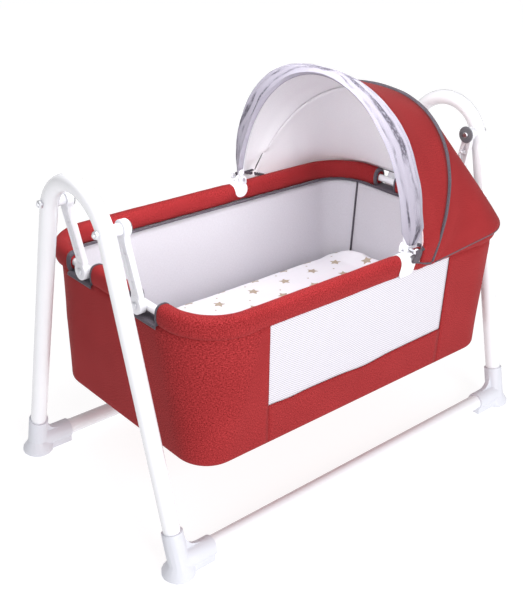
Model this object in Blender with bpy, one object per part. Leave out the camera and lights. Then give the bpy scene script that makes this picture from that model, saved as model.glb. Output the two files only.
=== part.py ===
"""A swinging baby cradle: a tube stand, four hanging arms and a fabric basket with a folding hood.

The length of the cradle runs along X with the hood at +X, the sides face -Y and +Y, and the floor is z = 0.
All sizes are in metres. The basket hangs level from four arms and swings sideways along Y.
"""

import math

import bmesh
import bpy
from mathutils import Matrix, Vector

# Main places: the basket's rail, the hanging arms and the end frames
GAP = 0.0003
RAIL_X = 0.450
RAIL_Y = 0.271
RAIL_R = 0.009
BOSS_T = 0.014
ARM_LOW_X = RAIL_X + RAIL_R + GAP + BOSS_T / 2
ARM_LEAN = 0.0267
ARM_PIVOT_X = ARM_LOW_X + ARM_LEAN
ARM_SETBACK = 0.037
PIVOT_X = ARM_PIVOT_X + ARM_SETBACK
LEG_LEAN = 0.0245
FOOT_X = PIVOT_X - LEG_LEAN
ARCH_Z = 0.6269
PIVOT_RISE = 0.0421
PIVOT_Z = ARCH_Z + PIVOT_RISE
ARM_LENGTH = 0.160
ARM_LOW_Z = PIVOT_Z - ARM_LENGTH
RAIL_DROP = 0.003
RAIL_Z = ARM_LOW_Z - RAIL_DROP

# Stand: two leaning inverted U tubes joined by two floor tubes
FOOT_IN = 0.0024
FOOT_Y = RAIL_Y - FOOT_IN
FLOOR_TUBE_Z = 0.030
TUBE_R = 0.0175
TUBE_WALL = 0.0015
ARCH_R = 0.1041
LEG_END_LIFT = 0.012
FLOOR_TUBE_GAP = 0.002
ARCH_STEPS = 9
TUBE_SIDES = 16

# Plastic feet
FOOT_WALL = 0.0042
FOOT_LEG_SOCKET = 0.095
FOOT_FLOOR_SOCKET = 0.080
FOOT_LIP_R = 0.034
FOOT_LIP_H = 0.012
FOOT_LIP_BEVEL = 0.004
FOOT_PLINTH_HALF_Y = 0.0153
FOOT_WEB_T = 0.012
FOOT_FILLET_R = 0.030
FOOT_WEB_STEPS = 5
FOOT_SIDES = 16

# Hanging arms and their pins
ARM_WIDTH = 0.025
ARM_BAR_T = 0.012
UPPER_BOSS_R = 0.017
LOWER_BOSS_R = 0.0185
POCKET_COUNT = 5
POCKET_DEPTH = 0.0075
POCKET_RIM = 0.003
POCKET_RIB = 0.0022
ARM_STRAIGHT = 0.022
GROOVE_WIDTH = 0.010
GROOVE_DEPTH = 0.0015
GROOVE_LENGTH = 0.092
SCREW_HOLE_R = 0.0026
SCREW_HOLE_DEPTH = 0.004
SCREW_HOLE_SPREAD = 0.030
SLOT_STEPS = 4
WASHER_R = 0.020
WASHER_T = 0.003
WASHER_EDGE = 0.001
BOLT_R = 0.004
BOLT_HEAD_R = 0.0068
BOLT_HEAD_T = 0.0034
BOLT_FACE_R = 0.0054
BOLT_TAIL = 0.002
NUT_R = 0.0085
NUT_T = 0.007
NUT_FACE_R = 0.0064
NUT_FLANK = 0.0042
SPACER_R = 0.0115
SADDLE_STEPS = 4
BASKET_BOLT_R = 0.004
BASKET_BOLT_HEAD_R = 0.0075
BASKET_BOLT_HEAD_T = 0.004
BASKET_BOLT_FACE_R = 0.0053
PIN_SIDES = 12
BOSS_SIDES = 18
WASHER_SIDES = 20
NUT_SIDES = 6
SMALL_SIDES = 10

# Basket rail and its padded sleeves
RAIL_CORNER_R = 0.100
RAIL_WALL = 0.0012
RAIL_CORE_SIDES = 6
SLEEVE_HALF_T = 0.018
SLEEVE_HALF_H = 0.024
SLEEVE_EXPONENT = 3.0
SLEEVE_NOTCH_INNER = 0.0232
SLEEVE_NOTCH_OUTER = 0.0328
SLEEVE_CLIP_GAP = 0.003
CORNER_STEPS = 7
SLEEVE_SIDES = 12

# Fabric basket, its lining, windows and floor
WALL_TOP_DROP = 0.0222
WALL_TOP_Z = RAIL_Z - WALL_TOP_DROP
WALL_HEIGHT = 0.2848
WALL_BOTTOM_Z = WALL_TOP_Z - WALL_HEIGHT
WALL_TOP_OUT = 0.014
BOTTOM_IN_X = 0.008
BOTTOM_X = RAIL_X - BOTTOM_IN_X
BOTTOM_IN_Y = 0.015
BOTTOM_Y = RAIL_Y - BOTTOM_IN_Y
BOTTOM_CORNER_R = 0.073
SKIRT_DROP = 0.006
SKIRT_INSET = 0.002
CLOTH_T = 0.0025
LINING_T = 0.002
LINING_INSET = 0.005
LINING_TOP_IN = 0.012
LINING_TOP_DROP = 0.0218
LINING_TOP_Z = RAIL_Z - LINING_TOP_DROP
BOARD_T = 0.008
WINDOW_NEAR_X = -0.290
WINDOW_FAR_X = 0.232
WINDOW_CORNER_RISE = 0.097
WINDOW_CORNER_Z = WALL_BOTTOM_Z + WINDOW_CORNER_RISE
WINDOW_DIP = 0.024
WINDOW_T = 0.0015
WINDOW_LAP = 0.006
WINDOW_STEPS = 8
PIPING_R = 0.003
PIPING_IN = 0.0173
PIPING_DROP = 0.0225
PIPING_Z = RAIL_Z - PIPING_DROP
PIPING_SIDES = 6

# Mattress
MATTRESS_EDGE_RISE = 0.069
MATTRESS_EDGE_Z = WALL_BOTTOM_Z + MATTRESS_EDGE_RISE
MATTRESS_CLEAR = 0.006
MATTRESS_CROWN = 0.016
MATTRESS_SIDE_DRAW = 0.004
MATTRESS_END_LIFT = 0.034
MATTRESS_LIFT_LENGTH = 0.142
MATTRESS_LIFT_START_X = BOTTOM_X - MATTRESS_LIFT_LENGTH
MATTRESS_LEAST_R = 0.016
# Each level's inset, with its share of the side's height or of the crown
MATTRESS_SIDE_SHARES = ((0.010, 0), (0.002, 0.12), (0, 0.35), (0, 0.70), (0.004, 0.90), (0.014, 1))
MATTRESS_CROWN_SHARES = ((0.035, 0.45), (0.080, 0.75), (0.150, 0.93), (0.205, 1))

# Rail clips, hoop and pins
CLIP_X = 0.0915
CLIP_LENGTH = 0.026
CLIP_RISE = 0.024
CLIP_TOP_Z = RAIL_Z + CLIP_RISE
CLIP_DROP = 0.019
CLIP_BOTTOM_Z = RAIL_Z - CLIP_DROP
CLIP_HALF_WIDTH = 0.0195
CLIP_IN_Y = RAIL_Y - CLIP_HALF_WIDTH
CLIP_OUT_Y = RAIL_Y + CLIP_HALF_WIDTH
CLIP_BEVEL = 0.004
CLIP_MOUTH = 0.013
HINGE_RISE = 0.032
HINGE_Z = RAIL_Z + HINGE_RISE
EAR_R = 0.010
EAR_T = 0.005
EAR_STEPS = 8
TONGUE_T = 0.008
TONGUE_R = 0.008
HOOP_IN = 0.006
HOOP_Y = RAIL_Y - HOOP_IN
HOOP_BASE_RISE = 0.014
HOOP_BASE_Z = RAIL_Z + HOOP_BASE_RISE
HOOP_HEIGHT = 0.331
HOOP_R = 0.006
HOOP_STEPS = 24
HOOP_SIDES = 8
FERRULE_R = 0.0075
FERRULE_LOW = 0.0105
FERRULE_HIGH = 0.036
HINGE_PIN_R = 0.0025
HINGE_HEAD_R = 0.0045
HINGE_HEAD_T = 0.002

# Hood rib, hood panels and gathered net
RIB_REACH = 0.0485
RIB_X = CLIP_X + RIB_REACH
RIB_BASE_DROP = 0.006
RIB_BASE_Z = RAIL_Z - RIB_BASE_DROP
RIB_LEAN = math.radians(25)
RIB_OUT = 0.0245
RIB_HALF_WIDTH = RAIL_Y + RIB_OUT
RIB_HEIGHT = 0.325
RIB_EXPONENT = 2.3
RIB_R = 0.003
RIB_START = 0.045
RIB_STEPS = 22
RIB_SIDES = 6
RIB_EYE_R = 0.0065
RIB_BEND_SHARE = 0.1
HOOD_T = 0.0016
HOOD_EDGE_REACH = 0.0067
HOOD_EDGE_X = CLIP_X + HOOD_EDGE_REACH
HOOD_EDGE_FLARE = 0.022
HOOD_FLARE_HEIGHT = 0.05
HOOD_OUT = 0.019
HOOD_HALF_WIDTH = RAIL_Y + HOOD_OUT
HOOD_BASE_RISE = 0.042
HOOD_BASE_Z = RAIL_Z + HOOD_BASE_RISE
HOOD_HEIGHT = 0.309
HOOD_EXPONENT = 2.4
HOOD_SEAM = 0.0045
HOOD_FRONT_SEAM = 0.0038
HOOD_COLUMNS = 30
FRONT_PANEL_ROWS = 2
REAR_PANEL_ROWS = 5
REAR_BULGE = 0.08
HEM_START_REACH = 0.020
HEM_START_X = RIB_X + HEM_START_REACH
HEM_OUT = 0.025
HEM_Y = RAIL_Y + HEM_OUT
HEM_START_DROP = 0.006
HEM_START_Z = RAIL_Z - HEM_START_DROP
HEM_SIDE_RISE = 0.009
HEM_SIDE_Z = RAIL_Z + HEM_SIDE_RISE
HEM_CORNER_IN = 0.105
HEM_CORNER_X = RAIL_X - HEM_CORNER_IN
HEM_CORNER_R = 0.1235
HEM_CORNER_Y = HEM_Y - HEM_CORNER_R
HEM_END_OUT = 0.005
HEM_END_X = RAIL_X + HEM_END_OUT
HEM_END_Y = 0.110
HEM_END_RISE = 0.0255
HEM_END_Z = RAIL_Z + HEM_END_RISE
HEM_CORNER_SHARE = 0.75
NET_SETBACK = 0.0118
NET_X = CLIP_X - NET_SETBACK
NET_HALF_WIDTH = 0.0185
NET_OFFSET = 0.0162
NET_HALF_T = 0.0088
NET_FOLD_DEPTH = 0.0026
NET_FOLDS = 5
NET_SECTION_POINTS = 20
NET_STEPS = 24
NET_START = 0.040

# Fits and working allowances
BORE_CLEARANCE = 0.0005
OVERRUN = 0.004
BEVEL_STEPS = 2

COLOURS = {
    "white_paint": ((0.87, 0.87, 0.88), 0.22, 0.0),
    "white_plastic": ((0.82, 0.82, 0.84), 0.32, 0.0),
    "grey_plastic": ((0.70, 0.70, 0.74), 0.45, 0.0),
    "dark_plastic": ((0.09, 0.09, 0.10), 0.45, 0.0),
    "chrome": ((0.80, 0.80, 0.82), 0.12, 1.0),
    "red_cloth": ((0.30, 0.022, 0.026), 0.85, 0.0),
    "pale_cloth": ((0.66, 0.63, 0.67), 0.90, 0.0),
    "dark_cloth": ((0.040, 0.037, 0.045), 0.85, 0.0),
    "mesh_cloth": ((0.84, 0.83, 0.86), 0.85, 0.0),
    "board": ((0.55, 0.42, 0.28), 0.75, 0.0),
}

ENDS = (("near", -1), ("far", 1))
SIDES = (("front", -1), ("rear", 1))


def clear_scene():
    """Remove every object of the startup scene."""
    for old in list(bpy.data.objects):
        bpy.data.objects.remove(old, do_unlink=True)


def material(name):
    """Return the Principled material of this name, made on first use."""
    found = bpy.data.materials.get(name)
    if found:
        return found
    colour, roughness, metallic = COLOURS[name]
    made = bpy.data.materials.new(name)
    made.use_nodes = True
    shader = made.node_tree.nodes["Principled BSDF"]
    shader.inputs["Base Color"].default_value = (*colour, 1)
    shader.inputs["Roughness"].default_value = roughness
    shader.inputs["Metallic"].default_value = metallic
    return made


def link(name, mesh, finish, smooth=True):
    """Turn a bmesh into a scene object with outward faces."""
    bmesh.ops.recalc_face_normals(mesh, faces=mesh.faces)
    data = bpy.data.meshes.new(name)
    mesh.to_mesh(data)
    mesh.free()
    obj = bpy.data.objects.new(name, data)
    bpy.context.scene.collection.objects.link(obj)
    if finish:
        data.materials.append(material(finish))
    for face in data.polygons:
        face.use_smooth = smooth
    return obj


def set_origin(obj, point):
    """Move an object's origin to a point without moving its shape."""
    obj.data.transform(Matrix.Translation(-Vector(point)))
    obj.location = Vector(point)


def combine(obj, tool, operation):
    """Add a Boolean to obj and hide its tool."""
    step = obj.modifiers.new(f"{operation.lower()}_{tool.name}", "BOOLEAN")
    step.object = tool
    step.operation = operation
    step.solver = "EXACT"
    tool.hide_render = True
    tool.display_type = "WIRE"
    return obj


def soften(obj, width, steps=BEVEL_STEPS):
    """Round the sharp edges of obj."""
    bevel = obj.modifiers.new("soft_edges", "BEVEL")
    bevel.width = width
    bevel.segments = steps
    bevel.limit_method = "ANGLE"


def circle(radius, sides):
    """Section points of a circle, as (right, up) pairs."""
    turn = 2 * math.pi / sides
    return [(radius * math.cos(i * turn), radius * math.sin(i * turn)) for i in range(sides)]


def superellipse(half_right, half_up, exponent, sides):
    """Section points of a squarish oval, as (right, up) pairs."""
    points = []
    for i in range(sides):
        angle = 2 * math.pi * i / sides
        c, s = math.cos(angle), math.sin(angle)
        right = half_right * math.copysign(abs(c) ** (2 / exponent), c)
        up = half_up * math.copysign(abs(s) ** (2 / exponent), s)
        points.append((right, up))
    return points


def tangents_of(path, closed):
    """Unit directions along a path at each of its points."""
    count = len(path)
    found = []
    for i in range(count):
        ahead = path[(i + 1) % count] if closed or i < count - 1 else path[i]
        behind = path[i - 1] if closed or i > 0 else path[i]
        found.append((ahead - behind).normalized())
    return found


def rings_along(mesh, path, sections, up, closed):
    """Place one ring of vertices at each point of the path."""
    rings = []
    upward = Vector(up)
    for point, tangent, section in zip(path, tangents_of(path, closed), sections):
        upward = (upward - tangent * upward.dot(tangent)).normalized()
        right = tangent.cross(upward)
        ring = [mesh.verts.new(point + right * a + upward * b) for a, b in section]
        rings.append(ring)
    return rings


def skin(mesh, rings, closed):
    """Join neighbouring rings with faces."""
    last = len(rings) if closed else len(rings) - 1
    for i in range(last):
        first, second = rings[i], rings[(i + 1) % len(rings)]
        for j in range(len(first)):
            k = (j + 1) % len(first)
            mesh.faces.new((first[j], first[k], second[k], second[j]))


def sweep_mesh(path, section, up, closed=False, bore=None):
    """Sweep a section along a path. A bore section of as many points leaves it hollow."""
    mesh = bmesh.new()
    path = [Vector(p) for p in path]
    sections = section if isinstance(section[0][0], tuple) else [section] * len(path)
    outer = rings_along(mesh, path, sections, up, closed)
    skin(mesh, outer, closed)
    if bore:
        inner = rings_along(mesh, path, [bore] * len(path), up, closed)
        skin(mesh, inner, closed)
        for end in (0, -1):
            skin(mesh, [outer[end], inner[end]], False)
    elif not closed:
        mesh.faces.new(outer[0])
        mesh.faces.new(outer[-1])
    return mesh


def sweep(name, path, section, up, finish, closed=False, bore=None):
    """Make an object by sweeping a section along a path."""
    return link(name, sweep_mesh(path, section, up, closed, bore), finish)


def rod(name, start, end, radius, finish=None, sides=PIN_SIDES):
    """A straight round rod between two points."""
    start, end = Vector(start), Vector(end)
    along = end - start
    up = (0, 1, 0) if abs(along.z) > abs(along.x) + abs(along.y) else (0, 0, 1)
    return link(name, sweep_mesh([start, end], circle(radius, sides), up), finish)


def turned(name, start, axis, steps, finish=None, sides=PIN_SIDES):
    """A solid of round steps along an axis. Each step is a (distance, radius) pair."""
    start, axis = Vector(start), Vector(axis).normalized()
    across = axis.orthogonal().normalized()
    other = axis.cross(across)
    mesh = bmesh.new()
    rings = []
    for distance, radius in steps:
        centre = start + axis * distance
        rings.append([mesh.verts.new(centre + across * a + other * b) for a, b in circle(radius, sides)])
    skin(mesh, rings, False)
    mesh.faces.new(rings[0])
    mesh.faces.new(rings[-1])
    return link(name, mesh, finish)


def prism(name, outline, direction, finish=None):
    """A flat outline of points pushed out along a direction."""
    mesh = bmesh.new()
    push = Vector(direction)
    near = [mesh.verts.new(Vector(p)) for p in outline]
    far = [mesh.verts.new(Vector(p) + push) for p in outline]
    skin(mesh, [near, far], False)
    mesh.faces.new(near)
    mesh.faces.new(far)
    return link(name, mesh, finish, smooth=False)


def block(name, low, high, finish=None):
    """A box between two corners."""
    (x0, y0, z0), (x1, y1, z1) = low, high
    outline = [(x0, y0, z0), (x1, y0, z0), (x1, y1, z0), (x0, y1, z0)]
    return prism(name, outline, (0, 0, z1 - z0), finish)


def arch(half_width, height, exponent, share):
    """Side and rise of an arch at a share of the way from its -Y foot to its +Y foot."""
    angle = math.pi * share
    c, s = math.cos(angle), math.sin(angle)
    side = -half_width * math.copysign(abs(c) ** (2 / exponent), c)
    return side, height * abs(s) ** (2 / exponent)


def corner_ring(half_x, half_y, radius, steps=CORNER_STEPS):
    """Points of a rounded rectangle, anticlockwise from its +X -Y corner."""
    points = []
    for quarter, (sx, sy) in enumerate(((1, -1), (1, 1), (-1, 1), (-1, -1))):
        for i in range(steps + 1):
            angle = math.radians(-90 + 90 * quarter + 90 * i / steps)
            x = sx * (half_x - radius) + radius * math.cos(angle)
            y = sy * (half_y - radius) + radius * math.sin(angle)
            points.append((x, y))
    return points


def leg_x(z):
    """Distance of the leaning end frame from the middle at a height."""
    return FOOT_X + (PIVOT_X - FOOT_X) * (z - FLOOR_TUBE_Z) / (PIVOT_Z - FLOOR_TUBE_Z)


def leg_angle():
    """Angle of a leg from the vertical in the end frame's plane."""
    reach = math.hypot(FOOT_Y, ARCH_Z - FLOOR_TUBE_Z)
    return math.acos(ARCH_R / reach) - math.atan2(ARCH_Z - FLOOR_TUBE_Z, FOOT_Y)


def pivot_y():
    """Distance of the upper pivots from the middle, on the arch's centre line."""
    return math.sqrt(ARCH_R**2 - (PIVOT_Z - ARCH_Z) ** 2)


def frame_outline():
    """Half of the end frame's centre line from its foot to its top, as (y, z) pairs."""
    lean = leg_angle()
    points = [(FOOT_Y + math.tan(lean) * (FLOOR_TUBE_Z - LEG_END_LIFT), LEG_END_LIFT)]
    for i in range(ARCH_STEPS + 1):
        angle = lean + (math.pi / 2 - lean) * i / ARCH_STEPS
        points.append((ARCH_R * math.cos(angle), ARCH_Z + ARCH_R * math.sin(angle)))
    return points


def end_frame(end, sx):
    """One inverted U tube with a cross hole for each upper pivot bolt."""
    half = frame_outline()
    outline = half + [(-y, z) for y, z in reversed(half[:-1])]
    path = [(sx * leg_x(z), y, z) for y, z in outline]
    section, bore = circle(TUBE_R, TUBE_SIDES), circle(TUBE_R - TUBE_WALL, TUBE_SIDES)
    frame = sweep(f"{end}_end_frame", path, section, (1, 0, 0), "white_paint", bore=bore)
    for side, sy in SIDES:
        y = sy * pivot_y()
        reach = TUBE_R + OVERRUN
        hole = rod(
            f"cut_{end}_{side}_frame_hole",
            (sx * (PIVOT_X - reach), y, PIVOT_Z),
            (sx * (PIVOT_X + reach), y, PIVOT_Z),
            BOLT_R + GAP,
        )
        combine(frame, hole, "DIFFERENCE")
    return frame


def floor_tube_end():
    """Distance of a floor tube's end from the middle."""
    return FOOT_X - TUBE_R - FLOOR_TUBE_GAP


def floor_tube(side, sy):
    """One long tube that joins the two ends of the stand near the floor."""
    y = sy * FOOT_Y
    path = [(x, y, FLOOR_TUBE_Z) for x in (-floor_tube_end(), floor_tube_end())]
    section, bore = circle(TUBE_R, TUBE_SIDES), circle(TUBE_R - TUBE_WALL, TUBE_SIDES)
    return sweep(f"{side}_floor_tube", path, section, (0, 0, 1), "white_paint", bore=bore)


def leg_line(sx, sy, height):
    """Point of a leg's centre line at a height."""
    y = FOOT_Y - math.tan(leg_angle()) * (height - FLOOR_TUBE_Z)
    return Vector((sx * leg_x(height), sy * y, height))


def foot(end, sx, side, sy):
    """A plastic corner foot with a socket for the leg and one for the floor tube."""
    name = f"foot_{end}_{side}"
    outer = TUBE_R + FOOT_WALL
    base = turned(
        name,
        (sx * FOOT_X, sy * FOOT_Y, 0),
        (0, 0, 1),
        (
            (0, FOOT_LIP_R - FOOT_LIP_BEVEL),
            (FOOT_LIP_BEVEL, FOOT_LIP_R),
            (FOOT_LIP_H, FOOT_LIP_R),
            (FLOOR_TUBE_Z, outer),
        ),
        "grey_plastic",
        FOOT_SIDES,
    )
    low = leg_line(sx, sy, LEG_END_LIFT - OVERRUN)
    high = leg_line(sx, sy, FOOT_LEG_SOCKET)
    combine(base, rod(f"add_{name}_leg", low, high, outer, sides=FOOT_SIDES), "UNION")
    inward = sx * (FOOT_X - FOOT_FLOOR_SOCKET)
    start = (sx * FOOT_X, sy * FOOT_Y, FLOOR_TUBE_Z)
    socket = rod(f"add_{name}_floor", start, (inward, sy * FOOT_Y, FLOOR_TUBE_Z), outer, sides=FOOT_SIDES)
    combine(base, socket, "UNION")
    combine(base, foot_web(name, sx, sy), "UNION")
    plinth = block(
        f"add_{name}_plinth",
        (min(inward, sx * FOOT_X), sy * FOOT_Y - FOOT_PLINTH_HALF_Y, 0),
        (max(inward, sx * FOOT_X), sy * FOOT_Y + FOOT_PLINTH_HALF_Y, FLOOR_TUBE_Z),
    )
    combine(base, plinth, "UNION")
    leg_bore = rod(
        f"cut_{name}_leg",
        leg_line(sx, sy, LEG_END_LIFT - GAP),
        leg_line(sx, sy, FOOT_LEG_SOCKET + outer),
        TUBE_R + GAP,
        sides=TUBE_SIDES,
    )
    floor_bore = rod(
        f"cut_{name}_floor",
        (sx * (floor_tube_end() + GAP), sy * FOOT_Y, FLOOR_TUBE_Z),
        (inward - sx * OVERRUN, sy * FOOT_Y, FLOOR_TUBE_Z),
        TUBE_R + GAP,
        sides=TUBE_SIDES,
    )
    combine(base, leg_bore, "DIFFERENCE")
    combine(base, floor_bore, "DIFFERENCE")
    return base


def foot_web(name, sx, sy):
    """The curved web in the corner between a foot's two sockets."""
    corner = leg_line(sx, sy, FLOOR_TUBE_Z)
    upward = (leg_line(sx, sy, FOOT_LEG_SOCKET) - corner).normalized()
    inward = Vector((-sx, 0, 0))
    outer = TUBE_R + FOOT_WALL
    reach = outer + FOOT_FILLET_R
    flat = [(0, 0), (reach, 0)]
    for i in range(FOOT_WEB_STEPS + 1):
        angle = math.pi / 2 * i / FOOT_WEB_STEPS
        flat.append((reach - FOOT_FILLET_R * math.sin(angle), reach - FOOT_FILLET_R * math.cos(angle)))
    flat.append((0, reach))
    half = inward.cross(upward).normalized() * FOOT_WEB_T / 2
    outline = [corner + inward * a + upward * b - half for a, b in flat]
    return prism(f"add_{name}_web", outline, 2 * half)


def arm_x(z):
    """Distance of an arm's middle plane from the cradle's middle at a height, upright at each boss."""
    low, high = ARM_LOW_Z + ARM_STRAIGHT, PIVOT_Z - ARM_STRAIGHT
    share = min(max((z - low) / (high - low), 0), 1)
    return ARM_LOW_X + (ARM_PIVOT_X - ARM_LOW_X) * share


def sheared_prism(name, outline, sx, inner, outer):
    """A cutter from a (y, z) outline, between two offsets along X from the arm's middle plane."""
    mesh = bmesh.new()
    rings = []
    for offset in (inner, outer):
        ring = [mesh.verts.new((sx * (arm_x(z) + offset), y, z)) for y, z in outline]
        rings.append(ring)
    skin(mesh, rings, False)
    mesh.faces.new(rings[0])
    mesh.faces.new(rings[1])
    return link(name, mesh, None, smooth=False)


def stadium(y, z_low, z_high, half_width):
    """Outline of a slot with round ends, as (y, z) pairs."""
    points = []
    for centre, start in ((z_high, 0), (z_low, math.pi)):
        for i in range(SLOT_STEPS + 1):
            angle = start + math.pi * i / SLOT_STEPS
            points.append((y + half_width * math.cos(angle), centre + half_width * math.sin(angle)))
    return points


def arm_pocket(name, sx, y, index):
    """One triangular pocket of the ribbed inner face."""
    low = ARM_LOW_Z + ARM_STRAIGHT
    step = (PIVOT_Z - ARM_LOW_Z - 2 * ARM_STRAIGHT) / POCKET_COUNT
    z0 = low + step * index + POCKET_RIB / 2
    z1 = low + step * (index + 1) - POCKET_RIB / 2
    half = ARM_WIDTH / 2 - POCKET_RIM
    wide, point = (z0, z1) if index % 2 == 0 else (z1, z0)
    outline = [(y - half, wide), (y + half, wide), (y, point)]
    inner = -ARM_BAR_T / 2 - OVERRUN
    return sheared_prism(name, outline, sx, inner, POCKET_DEPTH - ARM_BAR_T / 2)


def arm_bar(name, sx, y):
    """The plain bar of an arm, bent near each boss."""
    mesh = bmesh.new()
    half_y, half_x = ARM_WIDTH / 2, ARM_BAR_T / 2
    rings = []
    for z in (ARM_LOW_Z, ARM_LOW_Z + ARM_STRAIGHT, PIVOT_Z - ARM_STRAIGHT, PIVOT_Z):
        corners = ((-half_x, -half_y), (half_x, -half_y), (half_x, half_y), (-half_x, half_y))
        rings.append([mesh.verts.new((sx * (arm_x(z) + a), y + b, z)) for a, b in corners])
    skin(mesh, rings, False)
    mesh.faces.new(rings[0])
    mesh.faces.new(rings[-1])
    return link(name, mesh, "white_plastic", smooth=False)


def arm(end, sx, side, sy):
    """A hanging arm with a boss at each end, a ribbed inner face and a grooved outer face."""
    name = f"arm_{end}_{side}"
    y = sy * pivot_y()
    bar = arm_bar(name, sx, y)
    pins = (
        (PIVOT_Z, ARM_PIVOT_X, UPPER_BOSS_R, BOLT_R),
        (ARM_LOW_Z, ARM_LOW_X, LOWER_BOSS_R, BASKET_BOLT_R),
    )
    for index in range(POCKET_COUNT):
        combine(bar, arm_pocket(f"cut_{name}_pocket_{index}", sx, y, index), "DIFFERENCE")
    middle = (PIVOT_Z + ARM_LOW_Z) / 2
    reach = (GROOVE_LENGTH - GROOVE_WIDTH) / 2
    slot = stadium(y, middle - reach, middle + reach, GROOVE_WIDTH / 2)
    face = ARM_BAR_T / 2
    groove = sheared_prism(f"cut_{name}_groove", slot, sx, face - GROOVE_DEPTH, face + OVERRUN)
    combine(bar, groove, "DIFFERENCE")
    for place in (-1, 1):
        z = middle + place * SCREW_HOLE_SPREAD
        low = (sx * (arm_x(z) + face - SCREW_HOLE_DEPTH), y, z)
        high = (sx * (arm_x(z) + face + OVERRUN), y, z)
        hole = rod(f"cut_{name}_screw_{place}", low, high, SCREW_HOLE_R, sides=SMALL_SIDES)
        combine(bar, hole, "DIFFERENCE")
    for z, x, radius, _ in pins:
        near, far = sx * (x - BOSS_T / 2), sx * (x + BOSS_T / 2)
        boss = rod(f"add_{name}_boss_{z:.3f}", (near, y, z), (far, y, z), radius, sides=BOSS_SIDES)
        combine(bar, boss, "UNION")
    for z, x, _, bolt in pins:
        near, far = sx * (x - BOSS_T), sx * (x + BOSS_T)
        combine(bar, rod(f"cut_{name}_bore_{z:.3f}", (near, y, z), (far, y, z), bolt + GAP), "DIFFERENCE")
    set_origin(bar, (sx * ARM_PIVOT_X, y, PIVOT_Z))
    return bar


def upper_pivot(end, sx, side, sy):
    """The bolt, nut, spacer and washer that hang an arm from the end frame."""
    tag = f"{end}_{side}"
    y = sy * pivot_y()
    inner_face = ARM_PIVOT_X - BOSS_T / 2 - GAP
    outer_face = ARM_PIVOT_X + BOSS_T / 2 + GAP
    washer_in = inner_face - WASHER_T
    nut_in = PIVOT_X + TUBE_R + GAP
    outward = (sx, 0, 0)

    washer_steps = ((0, WASHER_R - WASHER_EDGE), (WASHER_EDGE, WASHER_R), (WASHER_T, WASHER_R))
    start = (sx * washer_in, y, PIVOT_Z)
    washer = turned(f"washer_{tag}", start, outward, washer_steps, "dark_plastic", WASHER_SIDES)

    start, end_point = (sx * outer_face, y, PIVOT_Z), (sx * (PIVOT_X - TUBE_R / 2), y, PIVOT_Z)
    spacer = rod(f"spacer_{tag}", start, end_point, SPACER_R, "white_plastic")
    saddle = saddle_tool(tag, sx, sy, PIVOT_Z - 2 * SPACER_R, PIVOT_Z + 2 * SPACER_R)
    combine(spacer, saddle, "DIFFERENCE")

    head_in = washer_in - GAP - BOLT_HEAD_T
    bolt_steps = (
        (0, BOLT_FACE_R),
        (BOLT_HEAD_T / 2, BOLT_HEAD_R),
        (BOLT_HEAD_T, BOLT_HEAD_R),
        (BOLT_HEAD_T, BOLT_R),
        (nut_in + NUT_T + BOLT_TAIL - head_in, BOLT_R),
    )
    bolt = turned(f"pivot_bolt_{tag}", (sx * head_in, y, PIVOT_Z), outward, bolt_steps, "chrome")

    nut_steps = ((0, NUT_R), (NUT_FLANK, NUT_R), (NUT_T, NUT_FACE_R))
    nut = turned(f"pivot_nut_{tag}", (sx * nut_in, y, PIVOT_Z), outward, nut_steps, "chrome", NUT_SIDES)
    for part, near, far in (
        (washer, washer_in - OVERRUN, inner_face + OVERRUN),
        (spacer, outer_face - OVERRUN, PIVOT_X),
        (nut, nut_in - OVERRUN, nut_in + NUT_T + OVERRUN),
    ):
        bore = rod(f"cut_{part.name}_bore", (sx * near, y, PIVOT_Z), (sx * far, y, PIVOT_Z), BOLT_R + GAP)
        combine(part, bore, "DIFFERENCE")
    return washer, spacer, bolt, nut


def saddle_tool(tag, sx, sy, z_low, z_high):
    """A piece of oversize end frame tube that shapes the end of a spacer."""
    path = []
    for i in range(SADDLE_STEPS + 1):
        z = z_low + (z_high - z_low) * i / SADDLE_STEPS
        y = math.sqrt(ARCH_R**2 - (z - ARCH_Z) ** 2)
        path.append((sx * leg_x(z), sy * y, z))
    return sweep(f"cut_spacer_{tag}_saddle", path, circle(TUBE_R + GAP, TUBE_SIDES), (1, 0, 0), None)


def basket_bolt(end, sx, side, sy):
    """The bolt that pins an arm's lower boss to the basket rail."""
    y = sy * pivot_y()
    start = RAIL_X - RAIL_R / 2
    face = ARM_LOW_X + BOSS_T / 2 + GAP - start
    steps = (
        (0, BASKET_BOLT_R),
        (face, BASKET_BOLT_R),
        (face, BASKET_BOLT_HEAD_R),
        (face + BASKET_BOLT_HEAD_T / 2, BASKET_BOLT_HEAD_R),
        (face + BASKET_BOLT_HEAD_T, BASKET_BOLT_FACE_R),
    )
    return turned(f"basket_bolt_{end}_{side}", (sx * start, y, ARM_LOW_Z), (sx, 0, 0), steps, "chrome")


def basket_rail():
    """The closed tube that carries the basket, drilled for the four basket bolts."""
    path = [(x, y, RAIL_Z) for x, y in corner_ring(RAIL_X, RAIL_Y, RAIL_CORNER_R)]
    up = (0, 0, 1)
    rail = sweep("basket_rail", path, circle(RAIL_R, SLEEVE_SIDES), up, "white_paint", closed=True)
    core = sweep("cut_rail_core", path, circle(RAIL_R - RAIL_WALL, RAIL_CORE_SIDES), up, None, closed=True)
    combine(rail, core, "DIFFERENCE")
    for end, sx in ENDS:
        for side, sy in SIDES:
            y = sy * pivot_y()
            near = (sx * (RAIL_X - RAIL_R / 2 - GAP), y, ARM_LOW_Z)
            far = (sx * (RAIL_X + RAIL_R + OVERRUN), y, ARM_LOW_Z)
            combine(rail, rod(f"cut_rail_{end}_{side}", near, far, BASKET_BOLT_R + GAP), "DIFFERENCE")
    return rail


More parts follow.
